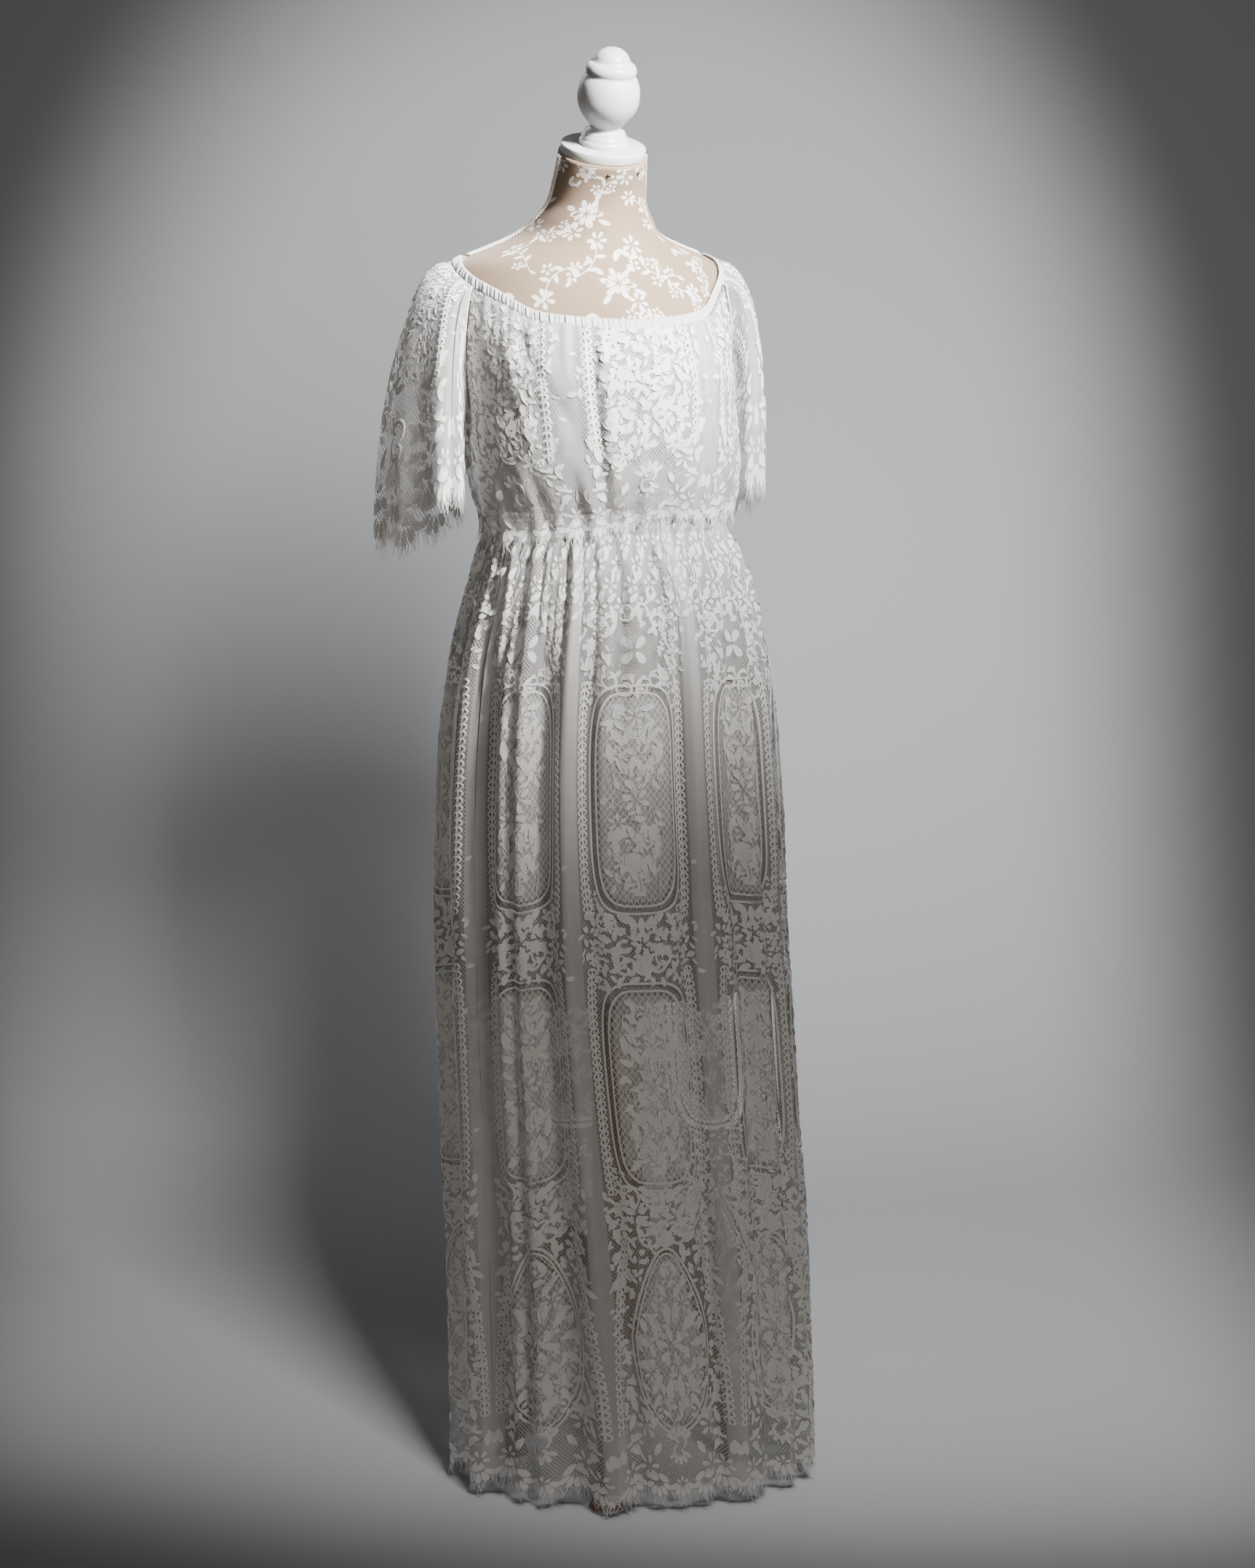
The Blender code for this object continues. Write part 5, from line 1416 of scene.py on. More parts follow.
@dataclass(frozen=True)
class ClothFinish(Finish):
    """Matt cotton cloth of a plain weave."""

    name: str
    colour: Triple
    shade: Triple
    pitch: float
    relief: float
    roughness: float = 0.85
    sheen: float = 0.25
    on_map: bool = True

    def dress(self, sheet: NodeSheet, shader: Node) -> None:
        """Weave relief with painted shade in its low crossings, uneven tone and a soft sheen."""
        place = self.place(sheet) if self.on_map else sheet.own_place()
        height = self.weave(sheet, place, self.pitch)
        # The weave's low crossings take the darker shade colour as painted shade; the noises add random tone.
        tone = sheet.sum("MULTIPLY_ADD", height, 0.55, sheet.sum("MULTIPLY", self.noise(sheet, place, 9.0), 0.45))
        colour = sheet.blend(sheet.ramp(tone, 0.25, 0.75), (*self.shade, 1.0), (*self.colour, 1.0))
        sheet.join(colour, shader.inputs["Base Color"])
        sheet.settle(shader, Roughness=self.roughness, Sheen_Weight=self.sheen, Sheen_Roughness=0.5,
                     Specular_IOR_Level=0.25)
        self.bump(sheet, shader, height, self.relief)


@dataclass(frozen=True)
class ThreadFinish(Finish):
    """Padded cotton threads, as of clothwork, cords and braids."""

    name: str
    colour: Triple
    shade: Triple
    on_map: bool = True

    def dress(self, sheet: NodeSheet, shader: Node) -> None:
        """Fine uneven threads in relief, with painted shade in their low grooves, and uneven tone."""
        place = self.place(sheet) if self.on_map else sheet.own_place()
        stretched = sheet.node("ShaderNodeMapping")
        stretched.inputs["Scale"].default_value = (1.0, 0.35, 1.0)
        sheet.join(place, stretched.inputs[0])
        fine = self.noise(sheet, stretched.outputs[0], 1400.0, 3.0)
        # The fine lines that sink the relief also darken the colour, as painted shade in the grooves; the coarse noise
        # adds random tone.
        tone = sheet.sum("MULTIPLY_ADD", fine, 0.6, sheet.sum("MULTIPLY", self.noise(sheet, place, 40.0), 0.4))
        colour = sheet.blend(sheet.ramp(tone, 0.3, 0.7), (*self.shade, 1.0), (*self.colour, 1.0))
        sheet.join(colour, shader.inputs["Base Color"])
        sheet.settle(shader, Roughness=0.78, Sheen_Weight=0.25, Specular_IOR_Level=0.3)
        self.bump(sheet, shader, fine, 0.0003)


@dataclass(frozen=True)
class NetFinish(Finish):
    """Fine diagonal net that opens in bands round each window."""

    name: str
    colour: Triple
    windows: tuple[Window, ...]
    ground: float = 0.60
    threads: float = 0.24
    half_column: float = 0.0735
    border: float = 0.0135
    clothwork: float = 0.60

    def net(self, sheet: NodeSheet, place: Socket, pitch: float, thread: float
            ) -> Socket:
        """The cover of a diagonal net."""
        tree = effect_group("diagonal_net", (("Place", "Vector", 0.0), ("Pitch", "Float", 0.002),
                                             ("Thread", "Float", 0.1)), ("Cover",), fill_net)
        return sheet.effect(tree, Place=place, Pitch=pitch, Thread=thread)

    def column(self, sheet: NodeSheet, place: Socket) -> Socket:
        """A mask of the columns of clothwork, whose ground is an open net."""
        x = sheet.parts(place)[0]
        share = sheet.sum("FLOORED_MODULO", sheet.sum("ADD", sheet.sum("DIVIDE", x, REPEAT), 0.5), 1.0)
        aside = sheet.sum("MULTIPLY", sheet.sum("ABSOLUTE", sheet.sum("SUBTRACT", share, 0.5)), REPEAT)
        edge = self.half_column
        return sheet.ramp(aside, edge + 0.0008, edge - 0.0008)

    def window(self, sheet: NodeSheet, place: Socket, window: Window, inset: float
               ) -> Socket:
        """A mask of the inside of a window."""
        tree = effect_group("lace_window", (
            ("Place", "Vector", 0.0), ("Centre", "Float", 0.0), ("Half width", "Float", 0.05),
            ("Half height", "Float", 0.1), ("Power", "Float", 2.6), ("Taper", "Float", 0.0)),
            ("Inside",), fill_window)
        return sheet.effect(tree, Place=place, Centre=window.centre, Half_width=window.half_width - inset,
                            Half_height=window.half_height - inset, Power=window.power, Taper=window.taper)

    def dress(self, sheet: NodeSheet, shader: Node) -> None:
        """Cover of the ground, of the bands and of the open windows."""
        place = self.place(sheet)
        fine = self.net(sheet, place, 0.0019, 0.30)
        ground = sheet.sum("MULTIPLY_ADD", fine, self.threads, self.ground)
        uneven = self.noise(sheet, place, 30.0)
        ground = sheet.sum("ADD", ground, sheet.sum("MULTIPLY_ADD", uneven, 0.16, -0.08))
        open_net = sheet.sum("MULTIPLY_ADD", self.net(sheet, place, 0.0036, 0.22), 0.66, 0.12)
        band, inside, core = self.column(sheet, place), 0.0, 0.0
        for window in self.windows:
            inside = sheet.sum("MAXIMUM", inside, self.window(sheet, place, window, 0.0008))
            core = sheet.sum("MAXIMUM", core, self.window(sheet, place, window, self.border))
        lerp = sheet.sum("ADD", ground, sheet.sum("MULTIPLY", band, sheet.sum("SUBTRACT", open_net, ground)))
        worked = sheet.sum("MULTIPLY", core, sheet.sum("MULTIPLY_ADD", uneven, 0.5, self.clothwork - 0.25))
        meshed = sheet.sum("MULTIPLY", sheet.sum("SUBTRACT", inside, core), sheet.sum("MULTIPLY", open_net, 0.62))
        cover = sheet.sum("MULTIPLY_ADD", lerp, sheet.sum("SUBTRACT", 1.0, inside), sheet.sum("ADD", worked, meshed))
        sheet.join(cover, shader.inputs["Alpha"])
        # Painted shade: between its threads, where its relief is low, the net is darker.
        tone = sheet.blend(fine, tuple(0.90 * part for part in self.colour) + (1.0,), (*self.colour, 1.0))
        sheet.join(tone, shader.inputs["Base Color"])
        sheet.settle(shader, Roughness=0.8, Sheen_Weight=0.2, Specular_IOR_Level=0.25)
        self.bump(sheet, shader, fine, 0.0002)


@dataclass(frozen=True)
class PaintFinish(Finish):
    """Satin paint on turned wood, with faint brush lines."""

    name: str
    colour: Triple

    def dress(self, sheet: NodeSheet, shader: Node) -> None:
        """Uneven gloss and a faint orange-peel relief."""
        place = sheet.own_place()
        soft, fine = self.noise(sheet, place, 22.0, 4.0), self.noise(sheet, place, 420.0)
        colour = sheet.blend(sheet.ramp(soft, 0.30, 0.62), tuple(0.94 * part for part in self.colour) + (1.0,),
                             (*self.colour, 1.0))
        sheet.join(colour, shader.inputs["Base Color"])
        sheet.join(sheet.ramp(soft, 0.3, 0.7, 0.30, 0.42), shader.inputs["Roughness"])
        self.bump(sheet, shader, fine, 0.00012)


@dataclass(frozen=True)
class WoodFinish(Finish):
    """Stained wood with grain along Z and a satin varnish."""

    name: str
    light: Triple
    dark: Triple

    def dress(self, sheet: NodeSheet, shader: Node) -> None:
        """Long grain in colour, gloss and relief."""
        stretched = sheet.node("ShaderNodeMapping")
        stretched.inputs["Scale"].default_value = (1.0, 1.0, 0.06)
        sheet.join(sheet.own_place(), stretched.inputs[0])
        grain = self.noise(sheet, stretched.outputs[0], 240.0, 5.0)
        sheet.join(sheet.blend(sheet.ramp(grain, 0.32, 0.68), (*self.dark, 1.0), (*self.light, 1.0)),
                   shader.inputs["Base Color"])
        sheet.join(sheet.ramp(grain, 0.3, 0.7, 0.5, 0.36), shader.inputs["Roughness"])
        self.bump(sheet, shader, grain, 0.0003)


@dataclass(frozen=True)
class SteelFinish(Finish):
    """Dark steel of the tack heads, worn in spots."""

    name: str

    def dress(self, sheet: NodeSheet, shader: Node) -> None:
        """Uneven tarnish."""
        place = sheet.own_place()
        spots = self.noise(sheet, place, 900.0)
        sheet.join(sheet.blend(spots, (0.05, 0.035, 0.03, 1.0), (0.16, 0.13, 0.11, 1.0)), shader.inputs["Base Color"])
        sheet.join(sheet.ramp(spots, 0.3, 0.7, 0.35, 0.6), shader.inputs["Roughness"])
        sheet.settle(shader, Metallic=1.0)


@dataclass(frozen=True)
class PaintedShadePaperFinish(Finish):
    """Paper of the studio's floor and back, with painted shade towards its sides and top."""

    name: str
    light: Triple
    dark: Triple

    def dress(self, sheet: NodeSheet, shader: Node) -> None:
        """Painted shade: the colour falls from light to dark towards the sides and the top; from behind, the paper
        lets the view through.
        """
        x, y, z = sheet.parts(sheet.own_place())
        across = sheet.sum("SUBTRACT", sheet.sum("MULTIPLY", x, 0.94), sheet.sum("MULTIPLY", y, 0.345))
        above = sheet.sum("MULTIPLY", sheet.sum("MAXIMUM", sheet.sum("SUBTRACT", z, 0.85), 0.0), 0.8)
        aside = sheet.sum("POWER", sheet.sum("ADD", sheet.sum("MULTIPLY", across, across),
                                             sheet.sum("MULTIPLY", above, above)), 0.5)
        # Painted shade: darker with distance to the side and above 0.85 m, standing in for light that falls off there.
        tone = sheet.ramp(aside, 1.15, 0.65)
        behind = sheet.node("ShaderNodeNewGeometry").outputs["Backfacing"]
        sheet.join(sheet.sum("SUBTRACT", 1.0, behind), shader.inputs["Alpha"])
        sheet.join(sheet.blend(tone, (*self.dark, 1.0), (*self.light, 1.0)), shader.inputs["Base Color"])
        sheet.settle(shader, Roughness=0.9, Specular_IOR_Level=0.1)


LACE_DESIGN = LaceDesign()
UPPER_DESIGN = LaceDesign(Panel.UPPER, 0.0735, (), ((0.105, 0.320),), 0.0600, 0.330)
LACE = ThreadFinish("lace_thread", (0.90, 0.885, 0.865), (0.80, 0.785, 0.765))
# Painted shade: the nets are given a darker colour than the lace threads of the same cotton.
NET = NetFinish("lace_net", (0.80, 0.785, 0.765), LACE_DESIGN.windows, 0.56)
UPPER_NET = NetFinish("upper_net", (0.80, 0.785, 0.765), UPPER_DESIGN.windows, 0.40)
# Painted shade: the linings are dark grey instead of their own white, for the shade they lie in under the lace.
LINING_IN_PAINTED_SHADE = ClothFinish("lining_weave", (0.38, 0.365, 0.35), (0.32, 0.305, 0.295), 0.0009, 0.0002)
CASING = ClothFinish("casing_weave", (0.76, 0.755, 0.745), (0.60, 0.595, 0.585), 0.0011, 0.0003)
LINEN = ClothFinish("linen_cover", (0.32, 0.233, 0.158), (0.26, 0.185, 0.122), 0.0012, 0.0003, 0.9, 0.1)
PRINT = ThreadFinish("white_print", (0.82, 0.79, 0.76), (0.72, 0.68, 0.64), on_map=False)
BRAID = ThreadFinish("braid_thread", (0.84, 0.815, 0.775), (0.72, 0.68, 0.63), on_map=False)
PAINT = PaintFinish("white_satin_paint", (0.60, 0.60, 0.605))
WOOD = WoodFinish("stained_wood", (0.30, 0.135, 0.055), (0.15, 0.060, 0.025))
STEEL = SteelFinish("tack_head_steel")
# Painted shade: the paper's colour goes from the light one to the dark one towards its sides and top.
PAPER = PaintedShadePaperFinish("studio_paper", (0.50, 0.505, 0.515), (0.07, 0.071, 0.073))


# Sub-assemblies


@dataclass
class Mannequin:
    """The dress form with its print, neck cap, finial and braids."""

    form: DressForm
    body_columns: int = 160
    body_rows: int = 150
    cap_tilt: float = 17.0
    cap_radius: float = 0.049
    cap_thickness: float = 0.011
    plait_pitch: float = 0.0078
    plait_width: float = 0.0028
    plait_radius: float = 0.0015
    finial_outline: tuple[Point, ...] = (
        (0.0000, 0.0285), (0.0045, 0.0285), (0.0054, 0.0280), (0.0062, 0.0265), (0.0100, 0.0265),
        (0.0108, 0.0262), (0.0118, 0.0243), (0.0150, 0.0240), (0.0163, 0.0230), (0.0185, 0.0185),
        (0.0205, 0.0180), (0.0225, 0.0183), (0.0260, 0.0214), (0.0300, 0.0250), (0.0360, 0.0296),
        (0.0420, 0.0330), (0.0490, 0.0352), (0.0560, 0.0359), (0.0630, 0.0356), (0.0700, 0.0345),
        (0.0755, 0.0326), (0.0800, 0.0302), (0.0822, 0.0287), (0.0835, 0.0283), (0.0848, 0.0286),
        (0.0875, 0.0294), (0.0900, 0.0291), (0.0930, 0.0281), (0.0955, 0.0262), (0.0972, 0.0232),
        (0.0985, 0.0209), (0.1015, 0.0203), (0.1060, 0.0180), (0.1095, 0.0147), (0.1125, 0.0100),
        (0.1140, 0.0052), (0.1145, 0.0000),
    )

    def build(self) -> None:
        """Make every piece of the form."""
        self.build_body()
        self.build_print()
        self.build_cap_and_finial()
        self.build_braids()

    def build_body(self) -> None:
        """The smooth padded torso in linen."""
        mesh, across, up = cloth_grid(self.body_columns, self.body_rows, "form_body")
        low, high = 0.720, 1.548
        z = low + (high - low) * np.where(up < 0.45, up * 0.62 / 0.45, 0.62 + (up - 0.45) * 0.38 / 0.55)
        azimuth = across * 360.0 - 180.0
        set_coordinates(mesh, self.form.skin(azimuth, z) + self.form.shift)
        set_flat_map(mesh, across * 0.80, z)
        close_seam(mesh, cap=True)
        show("form_body", mesh, LINEN, ["form_torso"])

    def print_motifs(self) -> list[Mesh]:
        """Generic printed sprays, flowers and buds in the flat."""
        motifs, made = Motifs(), []
        flower, small = motifs.flower(0.0085, 6, 0.72), motifs.flower(0.0050, 5, 0.74)
        leaf = motifs.leaf(0.0085, 0.0038)
        bud, dot = motifs.petal(0.0065, 0.0042, 0.6, 8), motifs.ring(0.0017, 0.0004, 7)
        for bend, blooms in ((0.009, 2), (-0.011, 3), (0.006, 1)):
            patch = Patch()
            stem = [(bend * math.sin(math.pi * t / 12.0), -0.019 + 0.038 * t / 12.0) for t in range(13)]
            patch.stamp(motifs.ribbon(f"stem{bend}", stem, 0.0009), 0.0, 0.0)
            for number in range(2, 12, 2):
                x, y = stem[number]
                patch.stamp(leaf, x, y, 1.0 if number % 4 else -1.0, 0.9)
            patch.stamp(flower, *stem[-1])
            for number in range(blooms):
                x, y = stem[3 + 3 * number]
                patch.stamp(small, x + (0.007 if number % 2 else -0.007), y + 0.002, number)
            patch.stamp(bud, *stem[0], math.pi)
            made.append(patch.mesh("spray"))
        rose = Patch()
        for radius, turn in ((0.0125, 0.0), (0.0085, 0.5), (0.0048, 0.2)):
            rose.stamp(motifs.flower(radius, 6, 0.60), 0.0, 0.0, turn, 1.0, radius * -0.004)
        for turn in (0.6, 2.2, 3.9, 5.2):
            rose.stamp(leaf, -0.011 * math.sin(turn), 0.011 * math.cos(turn), turn)
        made.append(rose.mesh("rose"))
        berries = Patch()
        for number in range(7):
            berries.stamp(dot, 0.004 * math.cos(number * 1.9), 0.0022 * number - 0.006)
        berries.stamp(leaf, 0.0, -0.008, 2.6)
        berries.stamp(leaf, 0.0, -0.008, -2.4)
        made.append(berries.mesh("berries"))
        daisy = Patch()
        daisy.stamp(flower, 0.0, 0.0)
        daisy.stamp(bud, 0.010, 0.004, -1.2)
        daisy.stamp(bud, -0.009, -0.006, 2.0)
        made.append(daisy.mesh("daisy"))
        return made

    def build_print(self) -> None:
        """A loose all-over floral print on the cover above the dress."""
        made, chance = self.print_motifs(), random.Random(11)
        shape = bmesh.new()
        rows = ((1.346, 15), (1.376, 14), (1.404, 12), (1.428, 10), (1.452, 8), (1.482, 6), (1.512, 5), (1.538, 5))
        for row, (z, count) in enumerate(rows):
            for number in range(count):
                azimuth = (number + 0.5 * (row % 2)) * 360.0 / count + chance.uniform(-3.5, 3.5)
                if z < float(self.form.neckline(np.array(azimuth))) - 0.012:
                    continue
                kind = made[chance.choice((0, 1, 2, 3, 4, 5, 0, 1))]
                mesh = kind.copy()
                size = chance.uniform(1.45, 1.80) * (0.8 if z > 1.5 else 1.0)
                mesh.transform(Matrix.Rotation(chance.uniform(0.0, TAU), 4, "Z")
                               @ Matrix.Diagonal((size, size, 0.12, 1.0)))
                flat = coordinates(mesh)
                surface = FormSkinSurface(self.form, azimuth, z + chance.uniform(-0.005, 0.005))
                keep = np.minimum(flat[:, 1], (1.5440 - z) * surface.per_height)
                set_coordinates(mesh, surface.raised(flat[:, 0], keep, flat[:, 2] + 0.00008))
                shape.from_mesh(mesh)
                bpy.data.meshes.remove(mesh)
        show("form_print", finished(shape, "form_print"), PRINT)

    def seat(self) -> Matrix:
        """The frame of the neck cap's underside."""
        middle = (float(self.form.shift[0]), 0.016 + float(self.form.shift[1]), 1.5483)
        return Matrix.Translation(middle) @ Matrix.Rotation(math.radians(self.cap_tilt), 4, "X")

    def turned(self, outline: Sequence[Point], name: str) -> Mesh:
        """A turned solid, spun from its outline.

        Args:
            outline: Height and radius of each step.
            name: The mesh's name.

        Returns:
            The mesh, upright on the origin.
        """
        shape = bmesh.new()
        points = [shape.verts.new((radius, 0.0, height)) for height, radius in outline]
        if outline[0][1] > 0.0:
            points.insert(0, shape.verts.new((0.0, 0.0, outline[0][0])))
        if outline[-1][1] > 0.0:
            points.append(shape.verts.new((0.0, 0.0, outline[-1][0])))
        edges = [shape.edges.new(pair) for pair in zip(points, points[1:])]
        bmesh.ops.spin(shape, geom=points + edges, cent=(0.0, 0.0, 0.0), axis=(0.0, 0.0, 1.0), angle=TAU,
                       steps=64, use_merge=True)
        bmesh.ops.remove_doubles(shape, verts=shape.verts, dist=0.00002)
        bmesh.ops.recalc_face_normals(shape, faces=shape.faces)
        return finished(shape, name)

    def build_cap_and_finial(self) -> None:
        """The white turned cap and finial."""
        r, t, b = self.cap_radius, self.cap_thickness, 0.0014
        outline = [(0.0, r - b), (b * 0.4, r - b * 0.3), (b, r), (t - b, r), (t - b * 0.4, r - b * 0.3), (t, r - b)]
        cap = self.turned(outline, "neck_cap_wood")
        cap.transform(self.seat())
        show("neck_cap_wood", cap, PAINT, ["neck_cap"]).data.set_sharp_from_angle(angle=0.9)
        finial = self.turned(self.finial_outline, "finial_wood")
        finial.transform(self.seat() @ Matrix.Translation((0.0, 0.0, t + 0.0003)))
        show("finial_wood", finial, PAINT, ["finial"]).data.set_sharp_from_angle(angle=1.1)

    def build_braids(self) -> None:
        """Plaited gimp over both shoulder seams, from the cap to the casing."""
        for name, azimuth in (("braid_right", -90.0), ("braid_left", 90.0)):
            z = np.linspace(1.4307, 1.5465, 400)
            line = self.form.skin(np.full_like(z, azimuth), z)
            along = np.concatenate([[0.0], np.cumsum(np.linalg.norm(np.diff(line, axis=0), axis=1))])
            even = np.linspace(0.0, along[-1], int(along[-1] / 0.0009))
            z = np.interp(even, along, z)
            around = self.form.skin(azimuth + 1.0, z) - self.form.skin(azimuth - 1.0, z)
            per_degree = np.linalg.norm(around, axis=-1) / 2.0
            paths = []
            for strand in range(3):
                turn = TAU * (even / self.plait_pitch / 1.6 + strand / 3.0)
                aside = self.plait_width * np.sin(turn)
                lift = 0.0019 + 0.0006 * np.cos(2.0 * turn)
                paths.append(self.form.lifted(azimuth + aside / per_degree, z, lift) + self.form.shift)
            mesh = tube(f"plait{azimuth}", paths, self.plait_radius)
            show(f"plaited_{name}", mesh, BRAID, [name])


@dataclass
class Casings:
    """The gathered casings of the neckline and the waist."""

    form: DressForm
    gather_pitch: float = 0.0061
    gather_depth: float = 0.0008

    def build(self) -> None:
        """Make both casings."""
        round_line = np.linspace(-180.0, 180.0, 1441)
        self.build_casing("neck_casing_cloth", "neck_casing", self.form.neckline(round_line), 0.0066, 0.0012,
                          0.0031, 1440)
        level = np.full(721, 1.1290)
        self.build_casing("waist_casing_cloth", "waist_casing", level, 0.0070, 0.0022, 0.0034, 720)

    def build_casing(self, name: str, node: str, heights: Values, half_width: float, half_depth: float,
                     lift: float, columns: int) -> None:
        """A closed tube of cloth round the form, crumpled by its elastic.

        Args:
            name: The piece's name.
            node: The CAD node that it replaces.
            heights: The height of its middle line at even azimuths.
            half_width: Half its width up the form.
            half_depth: Half its depth.
            lift: Its middle's lift from the form.
            columns: Faces round the form.
        """
        mesh, across, up = cloth_grid(columns, 12, name)
        azimuth = across * 360.0 - 180.0
        places = np.linspace(-180.0, 180.0, len(heights))
        middle = np.interp(azimuth, places, heights)
        steps = np.linalg.norm(np.diff(self.form.skin(places, heights), axis=0), axis=1)
        length = np.interp(azimuth, places, np.concatenate([[0.0], np.cumsum(steps)]))
        turn = up * TAU
        total = float(steps.sum())
        pitch = total / round(total / self.gather_pitch)
        gather = uneven_waves(length, pitch, 0.5) * smooth_step(0.0, 0.02, length)
        gather = gather * smooth_step(total, total - 0.02, length)
        rim = 1.0 + 0.16 * gather
        slope = np.linalg.norm(self.form.skin(azimuth, middle + 0.001) - self.form.skin(azimuth, middle - 0.001),
                               axis=-1) / 0.002
        z = middle + half_width * np.sin(turn) / slope * (1.0 + 0.05 * uneven_waves(length, pitch * 2.0, 2.0) * 0.6)
        flat_face = np.sign(np.cos(turn)) * np.abs(np.cos(turn)) ** 0.45
        loose = gather + 0.8 * uneven_waves(length, total / round(total / 0.017), 1.3)
        off = lift + half_depth * flat_face * rim + self.gather_depth * loose * (0.5 + 0.5 * np.cos(turn))
        set_coordinates(mesh, self.form.lifted(azimuth, z, np.maximum(off, 0.0009)) + self.form.shift)
        set_flat_map(mesh, length, up * 0.03)
        close_seam(mesh)
        piece = show(name, mesh, CASING, [node])


@dataclass
class LaceCloth:
    """A net sheet with lace on it, laid on one surface."""

    surface: ClothSurface
    repeat: Mesh

    def net(self, name: str, low: float, high: float, length: Callable[[Values], Values], columns: int, rows: int,
            closed: bool = False) -> Mesh:
        """A sheet of net between two flat places across.

        Args:
            name: The mesh's name.
            low: The flat place of its first edge.
            high: The flat place of its other edge.
            length: Its length at any place across.
            columns: Faces across.
            rows: Faces up.
            closed: Whether its edges meet.

        Returns:
            The mesh.
        """
        mesh, across, up = cloth_grid(columns, rows, name)
        x = low + (high - low) * across
        scallop = 0.0050 - 0.004 * np.cos(TAU * x / REPEAT * LACE_DESIGN.hem_petals)
        y = scallop + (length(x) - scallop) * up
        set_coordinates(mesh, self.surface.raised(x, y, np.zeros_like(x)))
        set_flat_map(mesh, x, y)
        if closed:
            close_seam(mesh)
        return mesh

    def lace(self, name: str, middle: float, highest: Callable[[Values], Values], lift: float = 0.0002
             ) -> Mesh:
        """One repeat of the lace on the surface.

        Args:
            name: The mesh's name.
            middle: The flat place across of its middle line.
            highest: Its length at any place across; what lies above is cut off.
            lift: How far it lies off the net.

        Returns:
            The mesh.
        """
        mesh = self.repeat.copy()
        flat = coordinates(mesh)
        x, y = flat[:, 0] + middle, flat[:, 1]
        above = y > highest(x)
        if above.any():
            shape = bmesh.new()
            shape.from_mesh(mesh)
            shape.verts.ensure_lookup_table()
            bmesh.ops.delete(shape, geom=[shape.verts[i] for i in np.nonzero(above)[0]], context="VERTS")
            shape.to_mesh(mesh)
            shape.free()
            flat = coordinates(mesh)
            x, y = flat[:, 0] + middle, flat[:, 1]
        set_coordinates(mesh, self.surface.raised(x, y, flat[:, 2] + lift))
        set_flat_map(mesh, x, y)
        return mesh


@dataclass
class Skirt:
    """The lace skirt with its lining."""

    form: DressForm
    repeat: Mesh
    columns: int = 300
    rows: int = 130

    def build(self) -> None:
        """Make the net, the lace repeats and the lining."""
        surface = SkirtSurface(self.form)
        cloth = LaceCloth(surface, self.repeat)
        whole = FLAT_LENGTH + HEADING
        for name, first, nodes in (("front", -1, ["skirt_front", "hem_fringe_front"]),
                                   ("back", 3, ["skirt_back", "hem_fringe_back"])):
            for number in range(4):
                mesh = cloth.lace(f"skirt_lace_{name}_{number + 1}", (first + number) * REPEAT,
                                  lambda x: np.full_like(x, whole))
                show(f"skirt_lace_{name}_{number + 1}", mesh, LACE)
            start = (first - 0.5) * REPEAT
            mesh = cloth.net(f"skirt_net_{name}", start, start + 4.0 * REPEAT, lambda x: np.full_like(x, whole),
                             self.columns, self.rows)
            net = show(f"skirt_net_{name}", mesh, NET, nodes)
        self.build_lining()

    def build_lining(self) -> None:
        """The short lining."""
        surface = SkirtLiningSurface(self.form)
        mesh, across, up = cloth_grid(400, 60, "skirt_lining")
        x, y = across * 8.0 * REPEAT, up * (SKIRT_TOP - 0.590)
        set_coordinates(mesh, surface.raised(x, y, np.zeros_like(x)))
        set_flat_map(mesh, x, y)
        close_seam(mesh)
        # The lining's dark grey colour is painted shade.
        lining = show("skirt_lining", mesh, LINING_IN_PAINTED_SHADE, ["lining_skirt"])


@dataclass
class Bodice:
    """The bodice lace over its lining."""

    form: DressForm
    repeat: Mesh
    columns: int = 300
    rows: int = 60

    def build(self) -> None:
        """Make the net and lace of both halves, and the lining."""
        surface = BodiceSurface(self.form)
        cloth = LaceCloth(surface, self.repeat)
        for name, low, middles, nodes in (
                ("front", -1.5, (-1.0, 0.0, 1.0), ["bodice_front", "waist_fringe_front"]),
                ("back", 1.5, (2.0, 3.0, 4.0), ["bodice_back", "waist_fringe_back"])):
            for number, place in enumerate(middles, 1):
                mesh = cloth.lace(f"bodice_lace_{name}_{number}", place * REPEAT, surface.length)
                show(f"bodice_lace_{name}_{number}", mesh, LACE)
            mesh = cloth.net(f"bodice_net_{name}", low * REPEAT, (low + 3.0) * REPEAT, surface.length,
                             self.columns, self.rows)
            net = show(f"bodice_net_{name}", mesh, UPPER_NET, nodes)
        self.build_lining(surface)

    def build_lining(self, surface: BodiceSurface) -> None:
        """The opaque lining, close to the form."""
        mesh, across, up = cloth_grid(240, 50, "bodice_lining")
        azimuth = across * 360.0 - 180.0
        away = np.abs(np.abs(azimuth) - 90.0)
        top = surface.top(azimuth) - np.where(away < 18.0, 0.010, 0.0012)
        bottom = 1.1363
        z = bottom + (top - bottom) * up
        lift = 0.0030 + 0.0020 * np.sqrt(np.abs(np.sin(np.pi * up)))
        lift = lift + 0.0006 * uneven_waves(azimuth, 9.0, 1.0) * np.sin(np.pi * up)
        set_coordinates(mesh, self.form.lifted(azimuth, z, lift) + self.form.shift)
        set_flat_map(mesh, across * 0.90, z)
        close_seam(mesh)
        # The lining's dark grey colour is painted shade.
        lining = show("bodice_lining", mesh, LINING_IN_PAINTED_SHADE, ["lining_bodice"])


